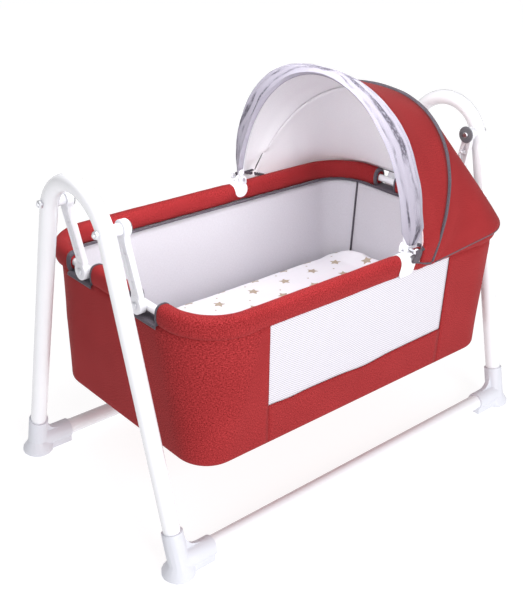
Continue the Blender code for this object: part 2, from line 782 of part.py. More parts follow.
def corner_path(sx, sy, far_x):
    """Rail centre line from the outer side of an arm notch, round a corner, to a clip."""
    centre_x, centre_y = RAIL_X - RAIL_CORNER_R, RAIL_Y - RAIL_CORNER_R
    points = [Vector((sx * RAIL_X, sy * (pivot_y() + SLEEVE_NOTCH_OUTER), RAIL_Z))]
    for i in range(CORNER_STEPS + 1):
        angle = math.pi / 2 * i / CORNER_STEPS
        x = centre_x + RAIL_CORNER_R * math.cos(angle)
        y = centre_y + RAIL_CORNER_R * math.sin(angle)
        points.append(Vector((sx * x, sy * y, RAIL_Z)))
    points.append(Vector((far_x, sy * RAIL_Y, RAIL_Z)))
    return points


def sleeves():
    """Six lengths of padded sleeve on the rail, parted at the arms and at the clips."""
    section = superellipse(SLEEVE_HALF_T, SLEEVE_HALF_H, SLEEVE_EXPONENT, SLEEVE_SIDES)
    bore = circle(RAIL_R + BORE_CLEARANCE, SLEEVE_SIDES)
    notch = pivot_y() - SLEEVE_NOTCH_INNER
    made = []
    for end, sx in ENDS:
        span = [(sx * RAIL_X, sy * notch, RAIL_Z) for _, sy in SIDES]
        made.append(sweep(f"sleeve_{end}_middle", span, section, (0, 0, 1), "red_cloth", bore=bore))
        clip_end = CLIP_X + sx * (CLIP_LENGTH / 2 + SLEEVE_CLIP_GAP)
        for side, sy in SIDES:
            path = corner_path(sx, sy, clip_end)
            made.append(sweep(f"sleeve_{side}_{end}", path, section, (0, 0, 1), "red_cloth", bore=bore))
    return made


def ring_levels(levels):
    """Rings of points from (half_x, half_y, radius, z) levels."""
    return [[(x, y, z) for x, y in corner_ring(hx, hy, r)] for hx, hy, r, z in levels]


def loft(name, rings, finish):
    """A closed body through rings of equal point counts, capped at its first and last ring."""
    mesh = bmesh.new()
    made = [[mesh.verts.new(p) for p in ring] for ring in rings]
    skin(mesh, made, False)
    mesh.faces.new(made[0])
    mesh.faces.new(made[-1])
    return link(name, mesh, finish)


def wall_outer(z, inset=0.0):
    """Half length, half width and corner radius of the basket's outer wall at a height."""
    share = (z - WALL_BOTTOM_Z) / (WALL_TOP_Z - WALL_BOTTOM_Z)
    half_x = BOTTOM_X + (RAIL_X + WALL_TOP_OUT - BOTTOM_X) * share
    half_y = BOTTOM_Y + (RAIL_Y + WALL_TOP_OUT - BOTTOM_Y) * share
    radius = BOTTOM_CORNER_R + (RAIL_CORNER_R + WALL_TOP_OUT - BOTTOM_CORNER_R) * share
    return half_x - inset, half_y - inset, radius - inset


def basket_shell():
    """The outer fabric: an open box with a window opening in each long side."""
    floor_z = WALL_BOTTOM_Z - SKIRT_DROP
    bottom = wall_outer(WALL_BOTTOM_Z, SKIRT_INSET)
    levels = [
        (*bottom, floor_z),
        (*wall_outer(WALL_BOTTOM_Z), WALL_BOTTOM_Z),
        (*wall_outer(WALL_TOP_Z), WALL_TOP_Z),
        (*wall_outer(WALL_TOP_Z, CLOTH_T), WALL_TOP_Z),
        (*wall_outer(WALL_BOTTOM_Z, CLOTH_T), WALL_BOTTOM_Z),
        (*wall_outer(WALL_BOTTOM_Z, SKIRT_INSET + CLOTH_T), floor_z + CLOTH_T),
    ]
    shell = loft("basket_shell", ring_levels(levels), "red_cloth")
    for side, sy in SIDES:
        y0 = sy * (BOTTOM_Y - CLOTH_T - OVERRUN)
        outline = [(x, y0, z) for x, z in window_outline(0, WALL_TOP_Z + OVERRUN)]
        depth = RAIL_Y + WALL_TOP_OUT - BOTTOM_Y + CLOTH_T + 2 * OVERRUN
        combine(shell, prism(f"cut_shell_window_{side}", outline, (0, sy * depth, 0)), "DIFFERENCE")
    return shell


def window_outline(grow, top):
    """Outline of a window as (x, z) pairs, with a sagging lower edge."""
    near, far = WINDOW_NEAR_X - grow, WINDOW_FAR_X + grow
    points = [(far, top), (near, top)]
    for i in range(WINDOW_STEPS + 1):
        share = i / WINDOW_STEPS
        sag = WINDOW_DIP * math.sin(math.pi * share)
        points.append((near + (far - near) * share, WINDOW_CORNER_Z - grow - sag))
    return points


def mesh_window(side, sy):
    """The fine mesh panel behind a window opening."""
    mesh = bmesh.new()
    rings = []
    outline = window_outline(WINDOW_LAP, WALL_TOP_Z)
    for depth in (CLOTH_T + GAP, CLOTH_T + GAP + WINDOW_T):
        rings.append([mesh.verts.new((x, sy * wall_outer(z, depth)[1], z)) for x, z in outline])
    skin(mesh, rings, False)
    for ring in rings:
        mesh.faces.new(ring)
    return link(f"mesh_window_{side}", mesh, "mesh_cloth", smooth=False)


def lining_wall(share, inset=0.0):
    """Half length, half width and corner radius of the lining's outer face, from its floor to its top."""
    low = wall_outer(WALL_BOTTOM_Z, LINING_INSET)
    high = (RAIL_X - LINING_TOP_IN, RAIL_Y - LINING_TOP_IN, RAIL_CORNER_R - LINING_TOP_IN)
    return tuple(a + (b - a) * share - inset for a, b in zip(low, high))


def floor_heights():
    """Undersides of the base board, the lining and the mattress."""
    board = WALL_BOTTOM_Z - SKIRT_DROP + CLOTH_T + GAP
    lining = board + BOARD_T + GAP
    return board, lining, lining + LINING_T + GAP


def lining():
    """The pale inner fabric: an open box inside the shell."""
    lining_z = floor_heights()[1]
    levels = [
        (*lining_wall(0), lining_z),
        (*lining_wall(1), LINING_TOP_Z),
        (*lining_wall(1, LINING_T), LINING_TOP_Z),
        (*lining_wall(0, LINING_T), lining_z + LINING_T),
    ]
    return loft("lining", ring_levels(levels), "pale_cloth")


def base_board():
    """The stiff board between the shell's floor and the lining."""
    board_z = floor_heights()[0]
    size = wall_outer(WALL_BOTTOM_Z, SKIRT_INSET + CLOTH_T + GAP)
    levels = [(*size, board_z), (*size, board_z + BOARD_T)]
    return loft("base_board", ring_levels(levels), "board")


def lining_piping():
    """The dark cord sewn round the lining under the sleeves."""
    ring = corner_ring(RAIL_X - PIPING_IN, RAIL_Y - PIPING_IN, RAIL_CORNER_R - PIPING_IN)
    path = [(x, y, PIPING_Z) for x, y in ring]
    return sweep("lining_piping", path, circle(PIPING_R, PIPING_SIDES), (0, 0, 1), "dark_cloth", closed=True)


def smooth_rise(share):
    """A soft step from 0 to 1."""
    share = min(max(share, 0), 1)
    return share * share * (3 - 2 * share)


def mattress():
    """A soft mattress with a crown, drawn-in sides and a far end that curls up."""
    bottom = floor_heights()[2]
    half_x, half_y, radius = lining_wall(0, LINING_T + MATTRESS_CLEAR)
    depth = MATTRESS_EDGE_Z - bottom
    levels = [(inset, bottom + depth * share) for inset, share in MATTRESS_SIDE_SHARES]
    levels += [(inset, MATTRESS_EDGE_Z + MATTRESS_CROWN * share) for inset, share in MATTRESS_CROWN_SHARES]
    rings = []
    for inset, z in levels:
        ring = []
        for x, y in mattress_ring(half_x, half_y, radius, inset):
            run = (x - MATTRESS_LIFT_START_X) / (half_x - MATTRESS_LIFT_START_X)
            lift = MATTRESS_END_LIFT * smooth_rise(run) * (z - bottom) / depth
            ring.append((x, y, z + lift))
        rings.append(ring)
    return loft("mattress", rings, "pale_cloth")


def mattress_ring(half_x, half_y, radius, inset):
    """Outline of one level of the mattress, with its sides drawn in between the corners."""
    points = []
    for x, y in corner_ring(half_x - inset, half_y - inset, max(radius - inset, MATTRESS_LEAST_R)):
        pull = MATTRESS_SIDE_DRAW * math.cos(math.pi / 2 * min(abs(x) / half_x, 1))
        points.append((x, y - math.copysign(pull, y)))
    return points


def clip(side, sy):
    """The plastic clip that grips the rail and carries the hood hinge between two ears."""
    name = f"rail_clip_{side}"
    low = (CLIP_X - CLIP_LENGTH / 2, min(sy * CLIP_IN_Y, sy * CLIP_OUT_Y), CLIP_BOTTOM_Z)
    high = (CLIP_X + CLIP_LENGTH / 2, max(sy * CLIP_IN_Y, sy * CLIP_OUT_Y), CLIP_TOP_Z)
    body = block(name, low, high, "white_plastic")
    soften(body, CLIP_BEVEL)
    y = sy * HOOP_Y
    ear_half = TONGUE_T / 2 + GAP + EAR_T
    ear = clip_ears(f"add_{name}_ears", y, ear_half)
    combine(body, ear, "UNION")
    reach = CLIP_LENGTH / 2 + OVERRUN
    start, end = (CLIP_X - reach, sy * RAIL_Y, RAIL_Z), (CLIP_X + reach, sy * RAIL_Y, RAIL_Z)
    combine(body, rod(f"cut_{name}_rail", start, end, RAIL_R + GAP), "DIFFERENCE")
    mouth = block(
        f"cut_{name}_mouth",
        (CLIP_X - reach, sy * RAIL_Y - CLIP_MOUTH / 2, CLIP_BOTTOM_Z - OVERRUN),
        (CLIP_X + reach, sy * RAIL_Y + CLIP_MOUTH / 2, RAIL_Z),
    )
    combine(body, mouth, "DIFFERENCE")
    slot = block(
        f"cut_{name}_slot",
        (CLIP_X - reach, y - TONGUE_T / 2 - GAP, HINGE_Z - TONGUE_R - 2 * GAP),
        (CLIP_X + reach, y + TONGUE_T / 2 + GAP, HINGE_Z + EAR_R + OVERRUN),
    )
    combine(body, slot, "DIFFERENCE")
    combine(body, pin_hole(name, y, ear_half + OVERRUN), "DIFFERENCE")
    return body


def pin_hole(name, y, reach):
    """A cutter for a hood pin's hole, reaching this far to each side of y."""
    start, end = (CLIP_X, y - reach, HINGE_Z), (CLIP_X, y + reach, HINGE_Z)
    return rod(f"cut_{name}_pin", start, end, HINGE_PIN_R + GAP, sides=SMALL_SIDES)


def clip_ears(name, y, half):
    """The round-topped upright that is slotted to make a clip's two ears."""
    outline = [(CLIP_X - EAR_R, y - half, CLIP_TOP_Z - OVERRUN)]
    for i in range(EAR_STEPS + 1):
        angle = math.pi - math.pi * i / EAR_STEPS
        outline.append((CLIP_X + EAR_R * math.cos(angle), y - half, HINGE_Z + EAR_R * math.sin(angle)))
    outline.append((CLIP_X + EAR_R, y - half, CLIP_TOP_Z - OVERRUN))
    return prism(name, outline, (0, 2 * half, 0))


def hoop_point(share):
    """A point of the front hoop's centre line."""
    side, rise = arch(HOOP_Y, HOOP_HEIGHT, 2, share)
    return Vector((CLIP_X, side, HOOP_BASE_Z + rise))


def front_hoop():
    """The hood's front bow, with a ferrule and a flat hinge tongue at each foot."""
    first = math.asin((HINGE_Z + FERRULE_LOW + OVERRUN - HOOP_BASE_Z) / HOOP_HEIGHT) / math.pi
    path = [hoop_point(first + (1 - 2 * first) * i / HOOP_STEPS) for i in range(HOOP_STEPS + 1)]
    hoop = sweep("front_hoop", path, circle(HOOP_R, HOOP_SIDES), (1, 0, 0), "white_plastic")
    for side, sy in SIDES:
        y = sy * HOOP_Y
        low, high = HINGE_Z + FERRULE_LOW, HINGE_Z + FERRULE_HIGH
        ferrule = rod(f"add_hoop_ferrule_{side}", (CLIP_X, y, low), (CLIP_X, y, high), FERRULE_R)
        combine(hoop, ferrule, "UNION")
        half = TONGUE_T / 2
        start, end = (CLIP_X, y - half, HINGE_Z), (CLIP_X, y + half, HINGE_Z)
        combine(hoop, rod(f"add_hoop_tongue_{side}", start, end, TONGUE_R), "UNION")
        corner, opposite = (CLIP_X - HOOP_R, y - half, HINGE_Z), (CLIP_X + HOOP_R, y + half, low + OVERRUN)
        combine(hoop, block(f"add_hoop_neck_{side}", corner, opposite), "UNION")
        combine(hoop, pin_hole(f"hoop_{side}", y, TONGUE_T), "DIFFERENCE")
    set_origin(hoop, (CLIP_X, 0, HINGE_Z))
    return hoop


def hood_pin(side, sy):
    """The pin through a clip's ears, the hoop's tongue and the rib's eye."""
    ear_in = HOOP_Y - TONGUE_T / 2 - GAP - EAR_T
    start = ear_in - GAP - HINGE_HEAD_T
    eye_out = RIB_HALF_WIDTH + RIB_R
    reach = eye_out + GAP - start
    steps = (
        (0, HINGE_HEAD_R),
        (HINGE_HEAD_T, HINGE_HEAD_R),
        (HINGE_HEAD_T, HINGE_PIN_R),
        (reach, HINGE_PIN_R),
        (reach, HINGE_HEAD_R),
        (reach + HINGE_HEAD_T, HINGE_HEAD_R),
    )
    return turned(f"hood_pin_{side}", (CLIP_X, sy * start, HINGE_Z), (0, sy, 0), steps, "chrome", SMALL_SIDES)


def rib_point(share):
    """A point of the hood rib's leaning arch."""
    side, rise = arch(RIB_HALF_WIDTH, RIB_HEIGHT, RIB_EXPONENT, share)
    return Vector((RIB_X + rise * math.sin(RIB_LEAN), side, RIB_BASE_Z + rise * math.cos(RIB_LEAN)))


def rib_share(rise):
    """Share of the rib's arch at which it has climbed this far along its lean."""
    return math.asin((rise / RIB_HEIGHT) ** (RIB_EXPONENT / 2)) / math.pi


def hood_rib():
    """The hood's middle bow, cranked forward to an eye on each hood pin."""
    first = rib_share(RIB_START)
    inner = [rib_point(first + (1 - 2 * first) * i / RIB_STEPS) for i in range(RIB_STEPS + 1)]
    eye_reach = RIB_EYE_R - RIB_R / 2
    front = Vector((CLIP_X + eye_reach, -RIB_HALF_WIDTH, HINGE_Z))
    rear = Vector((CLIP_X + eye_reach, RIB_HALF_WIDTH, HINGE_Z))
    bend = inner[0].lerp(front, RIB_BEND_SHARE)
    bend_rear = Vector((bend.x, -bend.y, bend.z))
    path = [front, bend] + inner + [bend_rear, rear]
    rib = sweep("hood_rib", path, circle(RIB_R, RIB_SIDES), (0, 1, 0), "dark_cloth")
    for side, sy in SIDES:
        near, far = sy * (RIB_HALF_WIDTH - RIB_R), sy * (RIB_HALF_WIDTH + RIB_R)
        eye = rod(f"add_rib_eye_{side}", (CLIP_X, near, HINGE_Z), (CLIP_X, far, HINGE_Z), RIB_EYE_R)
        combine(rib, eye, "UNION")
    for side, sy in SIDES:
        combine(rib, pin_hole(f"rib_{side}", sy * RIB_HALF_WIDTH, 2 * RIB_R), "DIFFERENCE")
    set_origin(rib, (CLIP_X, 0, HINGE_Z))
    return rib


def thick_sheet(name, grid, thickness, finish):
    """A closed sheet from a grid of points, thickened towards the inside of the hood."""
    rows, columns = len(grid), len(grid[0])
    mesh = bmesh.new()
    outer = [[mesh.verts.new(p) for p in row] for row in grid]
    inner = []
    for i in range(rows):
        row = []
        for j in range(columns):
            along = grid[min(i + 1, rows - 1)][j] - grid[max(i - 1, 0)][j]
            across = grid[i][min(j + 1, columns - 1)] - grid[i][max(j - 1, 0)]
            inward = across.cross(along).normalized()
            row.append(mesh.verts.new(grid[i][j] + inward * thickness))
        inner.append(row)
    for layer in (outer, inner):
        for i in range(rows - 1):
            for j in range(columns - 1):
                mesh.faces.new((layer[i][j], layer[i][j + 1], layer[i + 1][j + 1], layer[i + 1][j]))
    rim = [(i, 0) for i in range(rows)] + [(rows - 1, j) for j in range(1, columns)]
    rim += [(i, columns - 1) for i in range(rows - 2, -1, -1)] + [(0, j) for j in range(columns - 2, 0, -1)]
    for (a, b), (c, d) in zip(rim, rim[1:] + rim[:1]):
        mesh.faces.new((outer[a][b], outer[c][d], inner[c][d], inner[a][b]))
    return link(name, mesh, finish)


def hood_edge_point(share):
    """A point of the hood's front edge, flaring back near its feet."""
    side, rise = arch(HOOD_HALF_WIDTH, HOOD_HEIGHT, HOOD_EXPONENT, share)
    flare = HOOD_EDGE_FLARE * math.exp(-((rise / HOOD_FLARE_HEIGHT) ** 2))
    return Vector((HOOD_EDGE_X + flare, side, HOOD_BASE_Z + rise))


def seam_point(share, offset):
    """A point beside the rib, on the front or the rear panel's edge."""
    first = rib_share((HOOD_BASE_Z - RIB_BASE_Z) / math.cos(RIB_LEAN))
    point = rib_point(first + (1 - 2 * first) * share)
    return point + Vector((offset, 0, 0))


def hood_front_panel():
    """The hood fabric between the front edge and the rib."""
    grid = []
    for i in range(FRONT_PANEL_ROWS + 1):
        mix = i / FRONT_PANEL_ROWS
        row = []
        for j in range(HOOD_COLUMNS + 1):
            share = j / HOOD_COLUMNS
            row.append(hood_edge_point(share).lerp(seam_point(share, -HOOD_FRONT_SEAM), mix))
        grid.append(row)
    return thick_sheet("hood_front_panel", grid, HOOD_T, "red_cloth")


def hem_path():
    """Half of the rear panel's hem, from beside the rib to the middle of the far end."""
    points = [Vector((HEM_START_X, HEM_Y, HEM_START_Z)), Vector((HEM_CORNER_X, HEM_Y, HEM_SIDE_Z))]
    rise = (HEM_END_Z - HEM_SIDE_Z) * HEM_CORNER_SHARE
    for i in range(1, CORNER_STEPS + 1):
        angle = math.pi / 2 * i / CORNER_STEPS
        x = HEM_CORNER_X + HEM_CORNER_R * math.sin(angle)
        y = HEM_CORNER_Y + HEM_CORNER_R * math.cos(angle)
        points.append(Vector((x, y, HEM_SIDE_Z + rise * i / CORNER_STEPS)))
    points.append(Vector((HEM_END_X, HEM_END_Y, HEM_END_Z)))
    points.append(Vector((HEM_END_X, 0, HEM_END_Z)))
    return points


def along_path(points, share):
    """The point at a share of a path's length."""
    lengths = [(b - a).length for a, b in zip(points, points[1:])]
    left = share * sum(lengths)
    for a, b, length in zip(points, points[1:], lengths):
        if left <= length:
            return a.lerp(b, left / length)
        left -= length
    return points[-1]


def hem_point(share):
    """A point of the whole hem, from its -Y start to its +Y start."""
    half = min(share, 1 - share) * 2
    point = along_path(hem_path(), half)
    return Vector((point.x, -point.y if share < 1 - share else point.y, point.z))


def hood_rear_panel():
    """The hood fabric from the rib down to the far end and the corners."""
    grid = []
    for i in range(REAR_PANEL_ROWS + 1):
        angle = math.pi / 2 * i / REAR_PANEL_ROWS
        mix = i / REAR_PANEL_ROWS
        row = []
        for j in range(HOOD_COLUMNS + 1):
            share = j / HOOD_COLUMNS
            start, end = seam_point(share, HOOD_SEAM), hem_point(share)
            centre = Vector((start.x, start.y, end.z))
            straight = start.lerp(end, mix)
            rounded = centre + (start - centre) * math.cos(angle) + (end - centre) * math.sin(angle)
            row.append(straight.lerp(rounded, REAR_BULGE))
        grid.append(row)
    return thick_sheet("hood_rear_panel", grid, HOOD_T, "red_cloth")


def net_bundle():
    """The mosquito net gathered over the hoop, with folds along its length."""
    first = math.asin((HINGE_Z + NET_START - HOOP_BASE_Z) / HOOP_HEIGHT) / math.pi
    path = []
    for i in range(NET_STEPS + 1):
        share = first + (1 - 2 * first) * i / NET_STEPS
        side, rise = arch(HOOP_Y + NET_OFFSET, HOOP_HEIGHT + NET_OFFSET, 2, share)
        path.append((NET_X, side, HOOP_BASE_Z + rise))
    section = []
    for i in range(NET_SECTION_POINTS):
        angle = 2 * math.pi * i / NET_SECTION_POINTS
        fold = NET_FOLD_DEPTH / 2 * (1 + math.cos(angle * NET_FOLDS))
        section.append(((NET_HALF_T - fold) * math.cos(angle), (NET_HALF_WIDTH - fold) * math.sin(angle)))
    return sweep("net_bundle", path, section, (1, 0, 0), "mesh_cloth")


def parent_to(holder, pieces):
    """Parent pieces to a holder without moving them."""
    bpy.context.view_layer.update()
    for piece in pieces:
        piece.parent = holder
        piece.matrix_parent_inverse = holder.matrix_world.inverted()


def axis_empty(name, point):
    """An empty on a joint's axis."""
    empty = bpy.data.objects.new(name, None)
    empty.location = point
    bpy.context.scene.collection.objects.link(empty)
    return empty


def build_stand():
    """Everything that stands still."""
    for end, sx in ENDS:
        end_frame(end, sx)
    for side, sy in SIDES:
        floor_tube(side, sy)
    for end, sx in ENDS:
        for side, sy in SIDES:
            foot(end, sx, side, sy)
            upper_pivot(end, sx, side, sy)


def build_arms():
    """The four hanging arms."""
    for end, sx in ENDS:
        for side, sy in SIDES:
            arm(end, sx, side, sy)


def build_basket():
    """The swinging basket and what is fixed to it, hung from an empty on its pivot's axis."""
    pieces = [basket_rail(), basket_shell(), lining(), lining_piping(), base_board(), mattress()]
    pieces += sleeves()
    for side, sy in SIDES:
        pieces += [mesh_window(side, sy), clip(side, sy), hood_pin(side, sy)]
    for end, sx in ENDS:
        for side, sy in SIDES:
            pieces.append(basket_bolt(end, sx, side, sy))
    basket = axis_empty("basket_axis", (-ARM_LOW_X, pivot_y(), ARM_LOW_Z))
    parent_to(basket, pieces)
    return basket


def build_hood(basket):
    """The folding hood, whose bows turn about the hood pins."""
    hoop, rib = front_hoop(), hood_rib()
    parent_to(hoop, [net_bundle()])
    parent_to(rib, [hood_front_panel()])
    parent_to(basket, [rib, hoop, hood_rear_panel()])


def main():
    """Build the cradle in an empty scene."""
    clear_scene()
    build_stand()
    build_arms()
    build_hood(build_basket())


main()
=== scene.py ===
"""A swinging baby cradle dressed for the render: tube stand, hanging arms, fabric basket and folding hood.

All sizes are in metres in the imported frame: X runs along the cradle with the hood at +X, the floor is z = 0.
"""

import logging
import math
from contextlib import contextmanager
from dataclasses import dataclass, field
from enum import Enum
from typing import Callable, Iterator, Sequence

import bpy
from mathutils import Matrix, Vector, noise


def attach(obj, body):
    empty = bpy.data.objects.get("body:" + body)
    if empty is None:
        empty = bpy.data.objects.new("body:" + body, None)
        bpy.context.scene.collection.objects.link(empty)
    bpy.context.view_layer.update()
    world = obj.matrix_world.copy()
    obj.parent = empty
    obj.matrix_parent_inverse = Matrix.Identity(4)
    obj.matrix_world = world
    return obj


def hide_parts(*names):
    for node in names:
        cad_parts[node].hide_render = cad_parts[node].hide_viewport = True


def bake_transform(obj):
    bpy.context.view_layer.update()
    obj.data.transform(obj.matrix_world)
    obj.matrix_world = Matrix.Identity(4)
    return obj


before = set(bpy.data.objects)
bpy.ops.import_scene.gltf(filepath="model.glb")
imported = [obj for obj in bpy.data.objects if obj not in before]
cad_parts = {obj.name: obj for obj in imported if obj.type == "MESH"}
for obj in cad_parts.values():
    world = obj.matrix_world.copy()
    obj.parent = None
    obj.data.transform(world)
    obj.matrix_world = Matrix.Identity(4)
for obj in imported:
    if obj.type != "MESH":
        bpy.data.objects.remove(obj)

LOG = logging.getLogger("cradle")
NODES: dict[str, bpy.types.Object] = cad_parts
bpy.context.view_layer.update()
UP = Vector((0, 0, 1))
QUARTER = math.pi / 2

Object = bpy.types.Object
Socket = bpy.types.NodeSocket
Rows = list[list[Vector]]
Triple = tuple[float, float, float]
Section = list[tuple[float, float]]


class End(Enum):
    """The two ends of the cradle, by their sign along X."""

    NEAR = -1
    FAR = 1


class Side(Enum):
    """The two long sides of the cradle, by their sign along Y."""

    FRONT = -1
    REAR = 1


TAG = {place: place.name.lower() for place in (*End, *Side)}
CORNERS = [(end, side, f"{TAG[end]}_{TAG[side]}") for end in End for side in Side]


def linear(code: str) -> tuple[float, float, float, float]:
    """Turn an sRGB value such as "#RRGGBB" to a linear colour with an alpha of 1."""
    parts = [int(code[i : i + 2], 16) / 255 for i in (1, 3, 5)]
    red, green, blue = (c / 12.92 if c <= 0.04045 else ((c + 0.055) / 1.055) ** 2.4 for c in parts)
    return red, green, blue, 1.0


def clamp(value: float) -> float:
    """Hold a value between 0 and 1."""
    return min(max(value, 0.0), 1.0)


class Graph:
    """Short calls for the shader nodes of one material."""

    def __init__(self, tree: bpy.types.NodeTree) -> None:
        """Work in a new material's node tree."""
        self.tree = tree

    def feed(self, node: bpy.types.Node, inputs: dict) -> None:
        """Set a node's inputs, by name or number, to values or to other nodes' outputs."""
        for key, value in inputs.items():
            if isinstance(value, Socket):
                self.tree.links.new(value, node.inputs[key])
            else:
                node.inputs[key].default_value = value

    def add(self, kind: str, inputs: dict, output: int | str = 0, **settings: object) -> Socket:
        """Add a node.

        Args:
            kind: the node's type.
            inputs: its values and links.
            output: the output that is returned.
            settings: the node's own properties.

        Returns:
            One output of the new node.
        """
        node = self.tree.nodes.new(f"ShaderNode{kind}")
        for name, value in settings.items():
            setattr(node, name, value)
        self.feed(node, inputs)
        return node.outputs[output]

    def place(self) -> Socket:
        """The place on the piece in metres, from the object."""
        return self.add("TexCoord", {}, "Object")

    def cloth(self) -> Socket:
        """The place on a cloth piece in metres, from its own UV map."""
        return self.add("UVMap", {}, uv_map="cloth")

    def laid(
        self, at: Socket, scale: Sequence[float], degrees: float = 0, start: Sequence[float] = (0, 0, 0)
    ) -> Socket:
        """Scale, turn and shift a place."""
        turn = (0, 0, math.radians(degrees))
        return self.add("Mapping", {"Vector": at, "Scale": scale, "Rotation": turn, "Location": start})

    def clouds(self, at: Socket, scale: float = 1.0, detail: float = 2.0) -> Socket:
        """Smooth noise at a place."""
        return self.add("TexNoise", {"Vector": at, "Scale": scale, "Detail": detail}, "Fac")

    def parts(self, kind: str, value: Socket) -> Sequence[Socket]:
        """The three parts of a vector (XYZ) or a colour (Color)."""
        return self.add(f"Separate{kind}", {0: value}).node.outputs

    def calc(self, operation: str, *values: Socket | float, clamped: bool = False) -> Socket:
        """Work out one step of arithmetic."""
        return self.add("Math", dict(enumerate(values)), operation=operation, use_clamp=clamped)

    def ramp(self, value: Socket, start: float, stop: float, low: float = 0.0, high: float = 1.0) -> Socket:
        """Map a range of a value to another range, and hold it at its ends."""
        limits = {"From Min": start, "From Max": stop, "To Min": low, "To Max": high}
        return self.add("MapRange", {"Value": value, **limits})

    def mix(self, share: Socket, first: Socket | str, second: Socket | str) -> Socket:
        """Mix two colours, which are outputs or sRGB values."""
        first, second = (linear(c) if isinstance(c, str) else c for c in (first, second))
        return self.add("Mix", {0: share, 6: first, 7: second}, 2, data_type="RGBA")

    def bump(self, height: Socket, strength: float, distance: float) -> Socket:
        """A normal raised by a height."""
        return self.add("Bump", {"Height": height, "Strength": strength, "Distance": distance})

    def surface(self, inputs: dict) -> None:
        """Feed the material's Principled shader."""
        self.feed(self.tree.nodes["Principled BSDF"], inputs)


@dataclass(frozen=True)
class Finish:
    """A surface finish. A subclass paints its own colour, roughness and bump."""

    name: str
    slot: str

    def paint(self, graph: Graph) -> None:
        """Fill in the shader of a new material."""

    def dress(self, obj: Object) -> Object:
        """Give an object this finish alone, made on first use, and return the object."""
        made = bpy.data.materials.get(self.name)
        if not made:
            made = bpy.data.materials.new(self.name)
            made.use_nodes = True
            self.paint(Graph(made.node_tree))
        obj.data.materials.clear()
        obj.data.materials.append(made)
        return obj


@dataclass(frozen=True)
class HardCoat(Finish):
    """Powder-coated steel or moulded plastic: one colour with faint clouding and a fine bumpy skin."""

    colour: str
    shade: str
    roughness: float
    grain_mm: float
    depth_mm: float
    coat: float = 0.0

    def paint(self, graph: Graph) -> None:
        """Cloud the colour over centimetres and raise the grain in millimetres."""
        place = graph.place()
        cloud = graph.clouds(place, 14.0, 3.0)
        grain = graph.clouds(place, 1000 / self.grain_mm)
        graph.surface(
            {
                "Base Color": graph.mix(cloud, self.colour, self.shade),
                "Roughness": graph.ramp(cloud, 0.0, 1.0, self.roughness * 0.85, self.roughness * 1.2),
                "Normal": graph.bump(grain, 0.5, self.depth_mm / 1000),
                "Coat Weight": self.coat,
                "Coat Roughness": 0.12,
            }
        )


@dataclass(frozen=True)
class PlatedSteel(Finish):
    """Bright zinc or chrome plate on steel, with faint turning marks."""

    colour: str
    roughness: float

    def paint(self, graph: Graph) -> None:
        """Vary the roughness in fine marks about 0.6 mm apart."""
        marks = graph.clouds(graph.place(), 1600.0)
        rough = graph.ramp(marks, 0.0, 1.0, self.roughness * 0.7, self.roughness * 1.5)
        graph.surface({"Base Color": linear(self.colour), "Metallic": 1.0, "Roughness": rough})


@dataclass(frozen=True)
class Weave(Finish):
    """Woven cloth of two thread colours."""

    deep: str
    lit: str
    thread_mm: float
    slub_mm: float
    contrast: float
    bump_mm: float
    roughness: float = 0.85
    sheen: float = 0.0
    tint: str = "#FFFFFF"
    shine: float = 0.25

    def paint(self, graph: Graph) -> None:
        """Cross two sets of slubby threads, for colour and for bump."""
        cloth = graph.cloth()
        fine, long = 1000 / self.thread_mm, 1000 / self.slub_mm
        threads = [graph.clouds(graph.laid(cloth, scale)) for scale in ((fine, long, 1.0), (long, fine, 1.0))]
        crossed = graph.calc("ADD", *threads)
        fleck = graph.ramp(crossed, 1 - 0.5 / self.contrast, 1 + 0.5 / self.contrast)
        worn = graph.ramp(graph.clouds(cloth, 9.0, 3.0), 0.3, 0.7, 0.9, 1.1)
        amount = graph.calc("MULTIPLY", fleck, worn, clamped=True)
        graph.surface(
            {
                "Base Color": graph.mix(amount, self.deep, self.lit),
                "Normal": graph.bump(crossed, 0.8, self.bump_mm / 1000),
                "Roughness": self.roughness,
                "Sheen Weight": self.sheen,
                "Sheen Roughness": 0.4,
                "Sheen Tint": linear(self.tint),
                "Specular IOR Level": self.shine,
            }
        )


